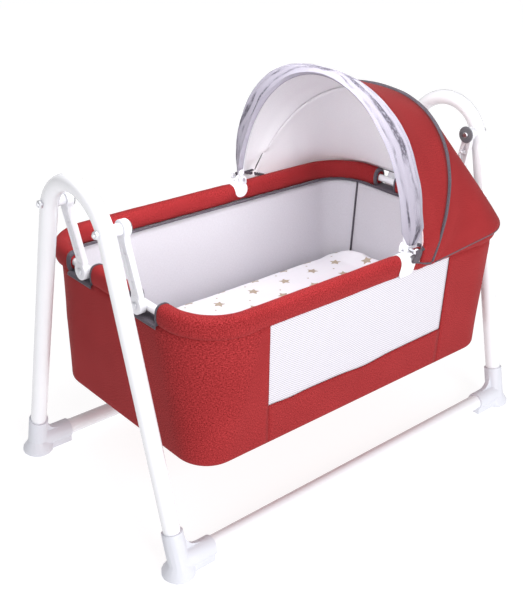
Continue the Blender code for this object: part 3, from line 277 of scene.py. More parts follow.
@dataclass(frozen=True)
class StarPrint(Finish):
    """Pale cotton sateen printed with scattered five-point stars, seen from above."""

    ground: str
    shade: str
    ink: str
    pale_ink: str
    cell_m: tuple[float, float] = (0.100, 0.064)
    big_m: float = 0.0158
    small_m: float = 0.0036
    waist: float = 0.52

    def star(self, graph: Graph, cloth: Socket, shift: tuple[float, float], radius: float) -> Socket:
        """One star in each cell of the print, each with its own turn and place.

        Args:
            graph: the material's nodes.
            cloth: the print's coordinates in metres.
            shift: where the cells start.
            radius: the size of a star's points.

        Returns:
            A mask that is 1 inside the stars.
        """
        wide, tall = self.cell_m
        start = (shift[0] / wide, shift[1] / tall, 0)
        x, y, _ = graph.parts("XYZ", graph.laid(cloth, (1 / wide, 1 / tall, 0), start=start))
        row = graph.calc("FLOOR", y)
        offset = graph.calc("ADD", x, graph.calc("MULTIPLY", row, 0.5))
        column = graph.calc("FLOOR", offset)
        cell = graph.add("CombineXYZ", {0: column, 1: row, 2: radius * 1000})
        chance = graph.add("TexWhiteNoise", {0: cell}, "Color", noise_dimensions="3D")
        luck = graph.parts("Color", chance)
        spans = []
        for along, base, length, drawn in ((offset, column, wide, luck[0]), (y, row, tall, luck[1])):
            middle = graph.ramp(drawn, 0.0, 1.0, 0.40, 0.60)
            away = graph.calc("SUBTRACT", graph.calc("SUBTRACT", along, base), middle)
            spans.append(graph.calc("MULTIPLY", away, length))
        angle = graph.calc("ARCTAN2", spans[1], spans[0])
        fold = graph.calc("PINGPONG", graph.calc("MULTIPLY_ADD", luck[2], 6.0, angle), math.pi / 5)
        flat = graph.add("CombineXYZ", {0: spans[0], 1: spans[1]})
        reach = graph.add("VectorMath", {0: flat}, "Value", operation="LENGTH")
        inner = self.waist * radius
        run, rise = radius - inner * math.cos(math.pi / 5), inner * math.sin(math.pi / 5)
        across = graph.calc("MULTIPLY", graph.calc("COSINE", fold), rise)
        edge = graph.calc("MULTIPLY_ADD", graph.calc("SINE", fold), run, across)
        return graph.calc("LESS_THAN", graph.calc("MULTIPLY", edge, reach), radius * rise)

    def paint(self, graph: Graph) -> None:
        """Print large and small stars on a softly clouded ground."""
        place = graph.place()
        ground = graph.mix(graph.clouds(place, 11.0, 3.0), self.ground, self.shade)
        ink = graph.mix(graph.clouds(place, 40.0), self.ink, self.pale_ink)
        big = self.star(graph, place, (0.012, 0.008), self.big_m)
        small = self.star(graph, place, (0.043, 0.034), self.small_m)
        # Sateen threads are about 0.25 mm apart and are drawn at 1.2 mm so that they show.
        threads = graph.clouds(place, 1000 / 1.2)
        graph.surface(
            {
                "Base Color": graph.mix(graph.calc("MAXIMUM", big, small), ground, ink),
                "Normal": graph.bump(threads, 0.4, 0.0004),
                "Roughness": 0.8,
                "Sheen Weight": 0.15,
            }
        )


@dataclass(frozen=True)
class Netting(Finish):
    """White polyester net. Its holes are drawn as darker dots on a slanting grid."""

    thread: str
    hole: str
    pitch_mm: float
    strength: float
    stripe: str = ""
    bands_m: tuple[tuple[float, float], ...] = ()

    def stripes(self, graph: Graph, cloth: Socket) -> Socket:
        """How dark the wandering, broken stripes are at a place of the net."""
        wander = graph.ramp(graph.clouds(graph.laid(cloth, (0.0, 5.0, 1.0))), 0.35, 0.65, -0.009, 0.009)
        place = graph.calc("ADD", graph.parts("XYZ", cloth)[0], wander)
        mask: Socket | float = 0.0
        for middle, half in self.bands_m:
            away = graph.calc("ABSOLUTE", graph.calc("SUBTRACT", place, middle))
            mask = graph.calc("MAXIMUM", mask, graph.ramp(away, half, half * 0.6))
        streaks = graph.clouds(graph.laid(cloth, (300.0, 120.0, 1.0), 62))
        patches = graph.clouds(graph.laid(cloth, (30.0, 11.0, 1.0)))
        dark = graph.ramp(streaks, 0.30, 0.52, 0.2, 0.95)
        shown = graph.ramp(patches, 0.42, 0.56, 0.08, 1.0)
        return graph.calc("MULTIPLY", graph.calc("MULTIPLY", dark, shown), mask)

    def paint(self, graph: Graph) -> None:
        """Dot the net, and stripe it inside its bands."""
        cloth = graph.cloth()
        turned = graph.laid(cloth, (1000 / self.pitch_mm,) * 3, 38)
        dots = graph.add("TexVoronoi", {"Vector": turned, "Scale": 1.0, "Randomness": 0.0}, "Distance")
        colour = graph.mix(graph.ramp(dots, 0.18, 0.42, self.strength, 0.0), self.thread, self.hole)
        if self.stripe:
            colour = graph.mix(self.stripes(graph, cloth), colour, self.stripe)
        graph.surface({"Base Color": colour, "Normal": graph.bump(dots, 0.5, 0.0006), "Roughness": 0.75})


# White polyester powder coat, sprayed and baked: glossy, with an orange peel of about 1 mm drawn at 3 mm.
POWDER_WHITE = HardCoat("powder_coated_steel", "white_paint", "#EEEEF2", "#E9E9EE", 0.24, 2.5, 0.02, 0.3)
# Injection-moulded ABS with a satin skin: its 0.5 mm spark grain is drawn at 1.5 mm.
ABS_WHITE = HardCoat("moulded_white_abs", "white_plastic", "#E9E9EE", "#E3E3E9", 0.32, 1.5, 0.03)
# Moulded polypropylene with a matt grain.
PP_GREY = HardCoat("moulded_grey_polypropylene", "grey_plastic", "#D9DAE2", "#CFD0D9", 0.5, 1.6, 0.08)
# Nylon washer, dark and matt.
NYLON_DARK = HardCoat("moulded_dark_nylon", "dark_plastic", "#74767C", "#686A70", 0.5, 1.4, 0.2)
# Bright zinc plate on bolts, nuts and pins.
ZINC_PLATE = PlatedSteel("zinc_plated_steel", "chrome", "#E2E3E8", 0.36)
# Polyester linen-look melange: dark and light threads about 0.7 mm thick drawn at 1.5 mm, with slubs of 3 mm.
MELANGE_RED = Weave(
    "melange_polyester", "red_cloth", "#5F0608", "#B53A3D", 1.5, 3.0, 1.6, 0.14, 0.72, 0.06, "#E8A09C", 0.10
)
# Brushed cotton lining, nearly plain.
LINING_COTTON = Weave(
    "brushed_cotton_lining", "pale_cloth", "#C8C5CC", "#D2CFD6", 1.6, 6.0, 1.4, 0.10, 0.9, 0.1
)
# The hood's lining cotton, with a shallower bump, is drawn much paler than the basket's lining as painted
# light inside the shaded hood.
HOOD_LINING_PAINTED_LIGHT = Weave(
    "fine_cotton_hood_lining", "pale_cloth", "#F1EFF4", "#F8F7FA", 1.6, 6.0, 1.4, 0.08, 0.9, 0.1
)
# Printed cotton sateen of the mattress cover.
STAR_COTTON = StarPrint("printed_cotton_sateen", "pale_cloth", "#F2F0F4", "#E8E5EC", "#A08C78", "#BCAC98")
# Twill binding tape.
TAPE_DARK = Weave("twill_binding_tape", "dark_cloth", "#443F46", "#675F69", 1.4, 4.0, 1.6, 0.3, 0.8, 0.1)
# Warp-knit window net: holes of about 1.5 mm drawn 4 mm apart.
WINDOW_NET = Netting("warp_knit_window_net", "mesh_cloth", "#DAD7DE", "#94919D", 4.2, 0.9)
# Mosquito net gauze with a striped edge tape, in bands given by their middle and half width.
STRIPE_BANDS = ((0.023, 0.0034), (0.046, 0.0085))
HOOD_NET = Netting(
    "mosquito_net_gauze", "mesh_cloth", "#9C98A5", "#898593", 3.2, 0.6, "#3F3B48", STRIPE_BANDS
)
# Pressed hardboard under the lining.
HARDBOARD = HardCoat("pressed_hardboard", "board", "#8A6A45", "#A98559", 0.7, 2.0, 0.1)
# Sprung steel rod of the rib in its heat-shrunk sleeve.
SLEEVED_ROD = HardCoat("sleeved_steel_rod", "dark_cloth", "#3A363D", "#46424A", 0.7, 1.5, 0.1)
# Pale pink cord along the hood's front edge: a painted highlight on the red cloth's rolled edge, its 0.3 mm
# threads drawn at 1.5 mm.
EDGE_HIGHLIGHT_CORD = Weave("satin_edge_ribbon", "red_cloth", "#E3C3C8", "#F0D8DC", 1.5, 4.0, 1.4, 0.1, 0.6, 0.2)


def wake(obj: Object) -> None:
    """Make one object the only selected and active one."""
    bpy.ops.object.select_all(action="DESELECT")
    obj.select_set(True)
    bpy.context.view_layer.objects.active = obj


@contextmanager
def editing(obj: Object) -> Iterator[None]:
    """Edit an object's mesh with all of it selected."""
    wake(obj)
    bpy.ops.object.mode_set(mode="EDIT")
    bpy.ops.mesh.select_all(action="SELECT")
    yield
    bpy.ops.object.mode_set(mode="OBJECT")


def apply_modifiers(obj: Object) -> Object:
    """Apply an object's modifiers in their order, and return the object."""
    wake(obj)
    for step in list(obj.modifiers):
        bpy.ops.object.modifier_apply(modifier=step.name)
    return obj


def refine(obj: Object, levels: int = 1) -> Object:
    """Subdivide an object after its other modifiers, and return the object."""
    finer = obj.modifiers.new("finer", "SUBSURF")
    finer.levels = finer.render_levels = levels
    return apply_modifiers(obj)


def settle(obj: Object, name: str) -> Object:
    """Name an object and put its place into its mesh, so that it sits at the origin."""
    obj.name = obj.data.name = name
    obj.data.transform(obj.matrix_world)
    obj.matrix_world = Matrix.Identity(4)
    return obj


def smooth(obj: Object) -> Object:
    """Shade an object smooth except across its sharp edges."""
    wake(obj)
    bpy.ops.object.shade_smooth_by_angle(angle=math.radians(35))
    return obj


def carry(obj: Object, body: str, finish: Finish, *nodes: str) -> Object:
    """Dress a piece, let it ride on a body and let it stand for its CAD nodes.

    Args:
        obj: the finished piece.
        body: the CAD body that it moves with.
        finish: what it is made of.
        nodes: the CAD nodes that it stands for.

    Returns:
        The piece.
    """
    finish.dress(obj)
    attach(obj, body)
    if nodes:
        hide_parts(*nodes)
    LOG.info("%s: %d faces on %s", obj.name, len(obj.data.polygons), body)
    return obj


def polish(node: str, name: str, bevel: float) -> Object:
    """Make a smooth copy of a CAD node, with its triangles merged.

    Args:
        node: the CAD node.
        name: the new piece's name.
        bevel: the width of its rounded edges.

    Returns:
        The new piece.
    """
    obj = bpy.data.objects.new(name, NODES[node].data.copy())
    bpy.context.scene.collection.objects.link(obj)
    with editing(obj):
        bpy.ops.mesh.remove_doubles(threshold=0.00002)
        bpy.ops.mesh.customdata_custom_splitnormals_clear()
        bpy.ops.mesh.dissolve_limited(angle_limit=math.radians(1.5))
    if bevel:
        edge = obj.modifiers.new("edges", "BEVEL")
        edge.width = bevel
        edge.segments = 2
        edge.limit_method = "ANGLE"
        edge.angle_limit = math.radians(40)
        edge.harden_normals = False
        apply_modifiers(obj)
    return smooth(obj)


def rounded(node: str, name: str, body: str, finish: Finish, bevel: float) -> Object:
    """Let a polished copy of a CAD node ride on a body in its place."""
    return carry(polish(node, name, bevel), body, finish, node)


def lengths_along(points: Sequence[Vector], closed: bool = False) -> list[float]:
    """Distance along a run of points from its first, with the way back to it if closed."""
    run = [0.0]
    pairs = list(zip(points, points[1:])) + ([(points[-1], points[0])] if closed else [])
    for a, b in pairs:
        run.append(run[-1] + (b - a).length)
    return run


def point_along(points: Sequence[Vector], share: float) -> Vector:
    """The point at a share of the way along a run of points."""
    run = lengths_along(points)
    left = share * run[-1]
    for a, b, start, stop in zip(points, points[1:], run, run[1:]):
        if left <= stop:
            return a.lerp(b, (left - start) / (stop - start))
    return points[-1].copy()


def cloth_mesh(name: str, rows: Rows, wrap: bool = False, loop: bool = False, cap: bool = False) -> Object:
    """Make a mesh from rows of points, with a UV map in metres.

    Args:
        name: the piece's name.
        rows: rows of equal length.
        wrap: joins each row's last point to its first.
        loop: joins the last row to the first.
        cap: closes the first row, which is small, with one face.

    Returns:
        The new object, with its faces to the right of its rows.
    """
    count, width = len(rows), len(rows[0])
    across = max((lengths_along(row, wrap) for row in rows), key=lambda run: run[-1])
    down = lengths_along([row[width // 2] for row in rows], loop)
    faces, coords = [], []
    for i in range(count if loop else count - 1):
        for j in range(width if wrap else width - 1):
            k, m = (j + 1) % width, (i + 1) % count
            faces.append((i * width + j, i * width + k, m * width + k, m * width + j))
            coords += [(across[a], down[b]) for a, b in ((j, i), (j + 1, i), (j + 1, i + 1), (j, i + 1))]
    if cap:
        faces.append(tuple(reversed(range(width))))
        coords += [(across[j], 0) for j in reversed(range(width))]
    data = bpy.data.meshes.new(name)
    data.from_pydata([tuple(p) for row in rows for p in row], [], faces)
    layer = data.uv_layers.new(name="cloth")
    for slot, place in zip(layer.data, coords):
        slot.uv = place
    data.shade_smooth()
    obj = bpy.data.objects.new(name, data)
    bpy.context.scene.collection.objects.link(obj)
    return obj


def lay(
    name: str,
    rows: Rows,
    thickness: float,
    outward: Callable[[Vector], Vector] | None = None,
    levels: int = 0,
    **joined: bool,
) -> Object:
    """Make a sheet from rows of points, with its thickness on its inner side.

    Args:
        name: the piece's name.
        rows: rows of equal length.
        thickness: the cloth's thickness.
        outward: gives the way that its outer side looks at a point.
        levels: how often it is subdivided.
        joined: how cloth_mesh joins and caps the rows.

    Returns:
        The new piece.
    """
    obj = cloth_mesh(name, rows, **joined)
    face = obj.data.polygons[len(obj.data.polygons) // 2]
    if outward and face.normal.dot(outward(face.center)) < 0:
        obj.data.flip_normals()
    return thicken(obj, thickness, levels)


def thicken(obj: Object, thickness: float, levels: int = 0) -> Object:
    """Give a sheet its thickness on its inner side, and smooth it by subdivision."""
    wall = obj.modifiers.new("thickness", "SOLIDIFY")
    wall.thickness = thickness
    wall.offset = -1
    return refine(obj, levels) if levels else apply_modifiers(obj)


def swept_rows(path: Sequence[Vector], sections: Sequence, up: Sequence[float], loop: bool = False) -> Rows:
    """Rows of points, one section at each point of a path.

    Args:
        path: the centre line.
        sections: one section of (right, up) points, or one for each point of the path.
        up: the direction that stays upward.
        loop: whether the path's ends join.

    Returns:
        One row for each point of the path.
    """
    many = isinstance(sections[0][0], (tuple, list))
    upward, rows, count = Vector(up), [], len(path)
    for i, point in enumerate(path):
        ahead = path[(i + 1) % count] if loop or i < count - 1 else point
        behind = path[i - 1] if loop or i > 0 else point
        tangent = (ahead - behind).normalized()
        upward = (upward - tangent * upward.dot(tangent)).normalized()
        right = tangent.cross(upward)
        rows.append([point + right * a + upward * b for a, b in (sections[i] if many else sections)])
    return rows


def sweep(
    name: str, path: Sequence[Vector], sections: Sequence, up: Sequence[float], loop: bool = False
) -> Object:
    """Run a section along a path, as in swept_rows, and close its ends unless the path loops."""
    obj = cloth_mesh(name, swept_rows(path, sections, up, loop), wrap=True, loop=loop)
    if not loop:
        with editing(obj):
            bpy.ops.mesh.select_all(action="DESELECT")
            bpy.ops.mesh.select_non_manifold()
            bpy.ops.mesh.fill_holes(sides=0)
    return obj


def oval(half_right: float, half_up: float, exponent: float = 2.0, sides: int = 24) -> Section:
    """Section points of an oval, clockwise as seen along the path. An exponent above 2 makes it squarer."""
    points = []
    for i in range(sides):
        angle = -2 * math.pi * i / sides
        c, s = math.cos(angle), math.sin(angle)
        right = half_right * math.copysign(abs(c) ** (2 / exponent), c)
        points.append((right, half_up * math.copysign(abs(s) ** (2 / exponent), s)))
    return points


def soft_noise(point: Vector, scale: float, seed: float = 0.0) -> float:
    """Smooth noise from -1 to 1 that varies over 1/scale metres."""
    return noise.noise(Vector((point.x * scale + seed, point.y * scale - seed, point.z * scale + 2 * seed)))


def swell(obj: Object, pressure: float, reach: float, frames: int = 20) -> None:
    """Puff a closed soft piece up by cloth simulation, and cap how far a point moves.

    Args:
        obj: the closed piece.
        pressure: the air pressure inside.
        reach: the furthest that a point may move.
        frames: how long the simulation runs.
    """
    rest = [v.co.copy() for v in obj.data.vertices]
    step = obj.modifiers.new("swell", "CLOTH")
    cloth = step.settings
    cloth.quality = 6
    cloth.mass = 0.3
    cloth.use_pressure = True
    cloth.uniform_pressure_force = pressure
    cloth.effector_weights.gravity = 0
    step.point_cache.frame_start, step.point_cache.frame_end = 1, frames
    for number in range(1, frames + 1):
        bpy.context.scene.frame_set(number)
    apply_modifiers(obj)
    for vertex, start in zip(obj.data.vertices, rest):
        moved = vertex.co - start
        if moved.length > reach:
            vertex.co = start + moved.normalized() * reach
    bpy.context.scene.frame_set(1)


def arch(half_width: float, height: float, exponent: float, share: float) -> tuple[float, float]:
    """Side and rise of an arch at a share of the way from its -Y foot to its +Y foot."""
    c, s = math.cos(math.pi * share), math.sin(math.pi * share)
    side = -half_width * math.copysign(abs(c) ** (2 / exponent), c)
    return side, height * abs(s) ** (2 / exponent)


def ring(half_x: float, half_y: float, radius: float, steps: int = 10) -> Section:
    """Points of a rounded rectangle, anticlockwise from its +X -Y corner."""
    points = []
    for quarter, (sx, sy) in enumerate(((1, -1), (1, 1), (-1, 1), (-1, -1))):
        for i in range(steps + 1):
            angle = math.radians(-90 + 90 * quarter + 90 * i / steps)
            x = sx * (half_x - radius) + radius * math.cos(angle)
            points.append((x, sy * (half_y - radius) + radius * math.sin(angle)))
    return points


def fine_ring(half_x: float, half_y: float, radius: float, parts: tuple[int, int]) -> Section:
    """A rounded rectangle whose ends and long sides are divided into so many parts each."""
    coarse, points = ring(half_x, half_y, radius), []
    for i, ((x0, y0), (x1, y1)) in enumerate(zip(coarse, coarse[1:] + coarse[:1])):
        count = parts[i // 11 % 2] if i % 11 == 10 else 1
        points += [(x0 + (x1 - x0) * k / count, y0 + (y1 - y0) * k / count) for k in range(count)]
    return points


@dataclass
class Stand:
    """The white tube stand: two leaning end frames, two floor tubes, four feet and the upper pivots."""

    foot_x: float = 0.5055
    foot_y: float = 0.2686
    foot_z: float = 0.030
    lean: float = 0.0245 / 0.639
    arch_z: float = 0.6269
    arch_r: float = 0.1041
    tube_r: float = 0.0175
    tube_wall: float = 0.0015
    floor_tube_length: float = 2 * 0.486
    leg_end_z: float = 0.012
    sides: int = 48
    leg_steps: int = 6
    near_washer: float = 0.80
    parts: tuple[tuple[str, str, Finish, float], ...] = (
        ("foot", "moulded_foot", PP_GREY, 0.0015),
        ("washer", "round_washer", NYLON_DARK, 0.0008),
        ("spacer", "saddle_spacer", ABS_WHITE, 0.0005),
        ("pivot_bolt", "hanger_bolt", ZINC_PLATE, 0.0004),
        ("pivot_nut", "hanger_nut", ZINC_PLATE, 0.0005),
    )

    def end_frame(self, end: End) -> None:
        """Bend one tube into an inverted U: a straight leg, the arch, and the other leg."""
        rise = self.arch_z - self.foot_z
        angle = math.acos(self.arch_r / math.hypot(self.foot_y, rise)) - math.atan2(rise, self.foot_y)
        foot = Vector((0, self.foot_y + math.tan(angle) * (self.foot_z - self.leg_end_z), self.leg_end_z))
        tangent = Vector((0, self.arch_r * math.cos(angle), self.arch_z + self.arch_r * math.sin(angle)))
        bpy.ops.object.select_all(action="DESELECT")
        bpy.ops.mesh.primitive_circle_add(
            vertices=self.sides, radius=self.tube_r, location=foot, rotation=(angle, 0, 0)
        )
        obj = settle(bpy.context.object, f"bent_{TAG[end]}_end_frame")
        up = (tangent - foot) / self.leg_steps
        down = Vector((0, tangent.y - foot.y, foot.z - tangent.z)) / self.leg_steps
        turn = -(math.pi - 2 * angle)
        with editing(obj):
            for _ in range(self.leg_steps):
                bpy.ops.mesh.extrude_edges_move(TRANSFORM_OT_translate={"value": up})
            bpy.ops.mesh.spin(steps=28, angle=turn, center=(0, 0, self.arch_z), axis=(1, 0, 0))
            for _ in range(self.leg_steps):
                bpy.ops.mesh.extrude_edges_move(TRANSFORM_OT_translate={"value": down})
            bpy.ops.mesh.select_all(action="SELECT")
            bpy.ops.mesh.remove_doubles(threshold=0.00001)
            bpy.ops.mesh.normals_make_consistent(inside=False)
        shear = Matrix.Identity(4)
        shear[0][2] = end.value * self.lean
        shear[0][3] = end.value * (self.foot_x - self.lean * self.foot_z)
        obj.data.transform(shear)
        thicken(obj, self.tube_wall)
        carry(smooth(obj), "stand", POWDER_WHITE, f"{TAG[end]}_end_frame")

    def floor_tube(self, side: Side) -> None:
        """One straight tube between two feet."""
        bpy.ops.object.select_all(action="DESELECT")
        bpy.ops.mesh.primitive_cylinder_add(
            vertices=self.sides,
            radius=self.tube_r,
            depth=self.floor_tube_length,
            end_fill_type="NOTHING",
            location=(0, side.value * self.foot_y, self.foot_z),
            rotation=(0, QUARTER, 0),
        )
        obj = settle(bpy.context.object, f"straight_{TAG[side]}_floor_tube")
        with editing(obj):
            for x in (-0.4, -0.2, 0.0, 0.2, 0.4):
                bpy.ops.mesh.select_all(action="SELECT")
                bpy.ops.mesh.bisect(plane_co=(x, 0, 0), plane_no=(1, 0, 0))
        thicken(obj, self.tube_wall)
        carry(smooth(obj), "stand", POWDER_WHITE, f"{TAG[side]}_floor_tube")

    def narrow(self, obj: Object, share: float) -> None:
        """Shrink a round piece across its X axis to a share of its radius."""
        middle = sum((v.co for v in obj.data.vertices), Vector()) / len(obj.data.vertices)
        squeeze = Matrix.Diagonal((1, share, share, 1))
        obj.data.transform(Matrix.Translation(middle) @ squeeze @ Matrix.Translation(-middle))

    def build(self) -> None:
        """Build the whole stand, with the moulded feet and each upper pivot's hardware."""
        for end in End:
            self.end_frame(end)
        for side in Side:
            self.floor_tube(side)
        for end, _, tag in CORNERS:
            for part, name, finish, bevel in self.parts:
                obj = polish(f"{part}_{tag}", f"{name}_{tag}", bevel)
                if part == "washer" and end is End.NEAR:
                    self.narrow(obj, self.near_washer)
                carry(obj, "stand", finish, f"{part}_{tag}")


@dataclass
class HangingArms:
    """The four moulded arms and the bolts that pin them to the basket's rail."""

    edge: float = 0.0014
    bolt_edge: float = 0.0004

    def build(self) -> None:
        """Round the edges of each arm and bolt."""
        for _, _, tag in CORNERS:
            rounded(f"arm_{tag}", f"ribbed_arm_{tag}", f"arm_{tag}", ABS_WHITE, self.edge)
            rounded(f"basket_bolt_{tag}", f"rail_bolt_{tag}", "basket", ZINC_PLATE, self.bolt_edge)


@dataclass
class Basket:
    """The fabric basket: shell panels, windows, lining, mattress, padded sleeves and their trim."""

    rail_x: float = 0.450
    rail_y: float = 0.271
    rail_z: float = 0.506
    sleeve_r: dict[End, float] = field(default_factory=lambda: {End.NEAR: 0.100, End.FAR: 0.115})
    sleeve_half: tuple[float, float] = (0.0176, 0.0232)
    bottom_z: float = 0.199
    top_z: float = 0.4838
    floor_z: float = 0.193
    bottom: Triple = (0.442, 0.256, 0.073)
    top: Triple = (0.464, 0.285, 0.145)
    shell_cloth: float = 0.0022
    window_x: dict[End, float] = field(default_factory=lambda: {End.NEAR: -0.281, End.FAR: 0.243})
    window_z: float = 0.296
    window_slant: float = 0.110
    seam_lap: float = 0.006
    pivot_y: float = 0.0952
    clip_x: float = 0.0915
    lining_floor_z: float = 0.2043
    lining_low: Triple = (0.437, 0.251, 0.068)
    lining_high: Triple = (0.438, 0.259, 0.088)
    piping_z: float = 0.4835
    notch_in: float = 0.0220
    notch_out: dict[End, float] = field(default_factory=lambda: {End.NEAR: 0.0500, End.FAR: 0.0328})
    notch_fold: tuple[tuple[float, float], ...] = (
        (0.4365, 0.4846),
        (0.4420, 0.4874),
        (0.4490, 0.4884),
        (0.4560, 0.4884),
        (0.4620, 0.4881),
        (0.4662, 0.4872),
        (0.4681, 0.4852),
        (0.4686, 0.4826),
        (0.4686, 0.4796),
    )

    def notch(self, end: End) -> tuple[float, float]:
        """Where the sleeves part at an arm: the distances from the middle to the gap's two ends."""
        return self.pivot_y - self.notch_in, self.pivot_y + self.notch_out[end]

    def wall(self, z: float) -> Triple:
        """Half length, half width and corner radius of the outer wall at a height."""
        share = (z - self.bottom_z) / (self.top_z - self.bottom_z)
        return tuple(a + (b - a) * share for a, b in zip(self.bottom, self.top))

    def tuck(self, z: float) -> float:
        """How far the wall's lower edge rolls in under the board at a height."""
        return 0.008 * clamp((self.bottom_z + 0.006 - z) / 0.012) ** 2

    def outset(self, point: Vector, normal: Vector, top: float) -> Vector:
        """Push a point of the wall out or in by the soft unevenness of padded cloth.

        Args:
            point: the even point.
            normal: the wall's outward direction there.
            top: height of the panel's upper edge, where the cloth is held.

        Returns:
            The pushed point.
        """
        held = clamp(min((point.z - self.floor_z) / 0.05, (top - point.z) / 0.03))
        broad = 0.0016 * soft_noise(point, 7.0, 3.0) + 0.0007 * soft_noise(point, 21.0, 8.0)
        drag = 0.0009 * math.sin(point.x * 46 + point.y * 46 + point.z * 31 + 3 * soft_noise(point, 5.0, 1.0))
        return point + normal * (broad + drag * max(0.0, soft_noise(point, 6.0, 5.0))) * held

    def rise(self, point: Vector) -> float:
        """How far the wall's upper edge runs up into the sleeve at a point, with none beside an arm."""
        near_top = clamp((point.z - 0.470) / 0.0138)
        if abs(point.x) < 0.41:
            return 0.0085 * near_top
        low, high = self.notch(End.NEAR if point.x < 0 else End.FAR)
        beside = max(low - 0.004 - abs(point.y), abs(point.y) - high - 0.004)
        return 0.0085 * near_top * clamp(beside / 0.006)

    def wrap_rows(self, end: End, wrinkled: bool) -> Rows:
        """Rows of one end's wrap, from its front window edge round the end to its rear one."""
        rows, sign, base = [], end.value, 0.205
        for z in [0.1932, 0.1945, 0.197, 0.2005] + [base + (self.top_z - base) * i / 22 for i in range(23)]:
            tuck = self.tuck(z)
            half_x, half_y, radius = (a - tuck for a in self.wall(z))
            corner_x, seam_x = sign * (half_x - radius), self.slanted(self.window_x[end], z)
            runs = []
            for side in (-1, 1):
                run = []
                for i in range(8):
                    x = seam_x + (corner_x - seam_x) * i / 8
                    run.append((Vector((x, side * half_y, z)), Vector((0, side, 0))))
                for i in range(13):
                    turn = QUARTER * i / 12
                    normal = Vector((sign * math.sin(turn), side * math.cos(turn), 0))
                    run.append((Vector((corner_x, side * (half_y - radius), z)) + normal * radius, normal))
                runs.append(run)
            half = half_y - radius
            straight = [Vector((sign * half_x, half * 2 * i / 40 - half, z)) for i in range(1, 40)]
            row = runs[0] + [(p, Vector((sign, 0, 0))) for p in straight] + runs[1][::-1]
            row = [(p + UP * self.rise(p), n) for p, n in row]
            rows.append([self.outset(p, n, self.top_z) if wrinkled else p for p, n in row])
        return rows

    def window_edge(self, x: float) -> float:
        """Height of a window's wavy lower edge."""
        near, far = self.window_x[End.NEAR], self.window_x[End.FAR]
        share = clamp((x - near) / (far - near))
        waves = 0.0055 * math.exp(-(((share - 0.53) / 0.10) ** 2))
        waves += 0.0025 * math.exp(-(((share - 0.11) / 0.06) ** 2))
        return self.window_z - 0.0035 * math.sin(math.pi * share) - waves

    def slanted(self, x: float, z: float) -> float:
        """A place along a window at a height: the sides lean towards the near end as they rise."""
        return x - self.window_slant * (z - self.window_z)

    def panel_rows(self, side: Side, wrinkled: bool) -> Rows:
        """Rows of the panel under one window, from the basket's lower edge to the window."""
        near, far = self.window_x[End.NEAR], self.window_x[End.FAR]
        rows = []
        for i in range(14):
            share, row = (i / 13) ** 1.25, []
            for j in range(41):
                x = near + (far - near) * j / 40
                edge = self.window_edge(x)
                z = self.floor_z + 0.0002 + (edge - self.floor_z) * share
                point = Vector((self.slanted(x, z), side.value * (self.wall(z)[1] - self.tuck(z)), z))
                row.append(self.outset(point, Vector((0, side.value, 0)), edge) if wrinkled else point)
            rows.append(row)
        return rows

    def window_rows(self, side: Side, wrinkled: bool) -> Rows:
        """Rows of one window, which laps behind the shell's opening."""
        near, far = self.window_x[End.NEAR] - self.seam_lap, self.window_x[End.FAR] + self.seam_lap
        rows = []
        for i in range(21):
            row = []
            for j in range(49):
                x = near + (far - near) * j / 48
                low = self.window_edge(x) - self.seam_lap
                z = low + (self.top_z - low) * i / 20
                point = Vector((self.slanted(x, z), side.value * (self.wall(z)[1] - 0.0029), z))
                point.z += self.rise(point)
                if wrinkled:
                    slack = math.sin(math.pi * i / 20) * math.sin(math.pi * j / 48)
                    sag = 0.0012 * slack * (1 + soft_noise(point, 9.0, 2.0))
                    point -= Vector((0, side.value * sag, 0))
                row.append(point)
            rows.append(row)
        return rows

    def flat_floor(self, name: str, size: Triple, z: float, up: int, thickness: float) -> Object:
        """A flat rounded sheet across the basket, whose outer side looks up or down."""
        shares = [max(i / 7, 0.02) for i in range(8)]
        rows = [[Vector((x * share, y * share, z)) for x, y in ring(*size)] for share in shares]
        return lay(name, rows, thickness, lambda c: UP * up, wrap=True, cap=True)

    def shell(self) -> None:
        """The outer cloth: two end wraps, the panels under the windows, the floor and the net windows."""
        for end in End:
            rows = self.wrap_rows(end, True)
            obj = lay(f"end_wrap_{TAG[end]}", rows, self.shell_cloth, lambda c: Vector((c.x, c.y, 0)))
            carry(obj, "basket", MELANGE_RED, "basket_shell")
            self.wrap_rows(end, False)
        for side in Side:
            rows = self.panel_rows(side, True)
            obj = lay(f"side_panel_{TAG[side]}", rows, self.shell_cloth, lambda c: Vector((0, c.y, 0)))
            carry(obj, "basket", MELANGE_RED, "basket_shell")
            self.panel_rows(side, False)
        half_x, half_y, radius = (a - 0.0085 for a in self.bottom)
        obj = self.flat_floor("shell_floor", (half_x, half_y, radius), 0.1934, -1, 0.0018)
        carry(obj, "basket", MELANGE_RED, "basket_shell")
        for side in Side:
            rows = self.window_rows(side, True)
            obj = lay(f"net_window_{TAG[side]}", rows, 0.0009, lambda c: Vector((0, c.y, 0)))
            carry(obj, "basket", WINDOW_NET, f"mesh_window_{TAG[side]}")
            self.window_rows(side, False)

    def lining_wall(self, share: float) -> Triple:
        """Half length, half width and corner radius of the lining, from its floor to its top."""
        return tuple(a + (b - a) * share for a, b in zip(self.lining_low, self.lining_high))

    def lining_rows(self, wrinkled: bool) -> Rows:
        """Rows of the lining's walls, from the floor up."""
        rows = []
        for i in range(15):
            share, row = i / 14, []
            z = self.lining_floor_z + (0.4842 - self.lining_floor_z) * share
            for x, y in fine_ring(*self.lining_wall(share), (18, 36)):
                point = Vector((x, y, z))
                if wrinkled:
                    hold = math.sin(math.pi * share) ** 0.5
                    uneven = 0.0022 * soft_noise(point, 6.0, 11.0) + 0.0008 * soft_noise(point, 22.0, 4.0)
                    point -= Vector((x / 0.44, y / 0.26, 0)).normalized() * (uneven * hold + 0.0005)
                row.append(point)
            rows.append(row)
        return rows

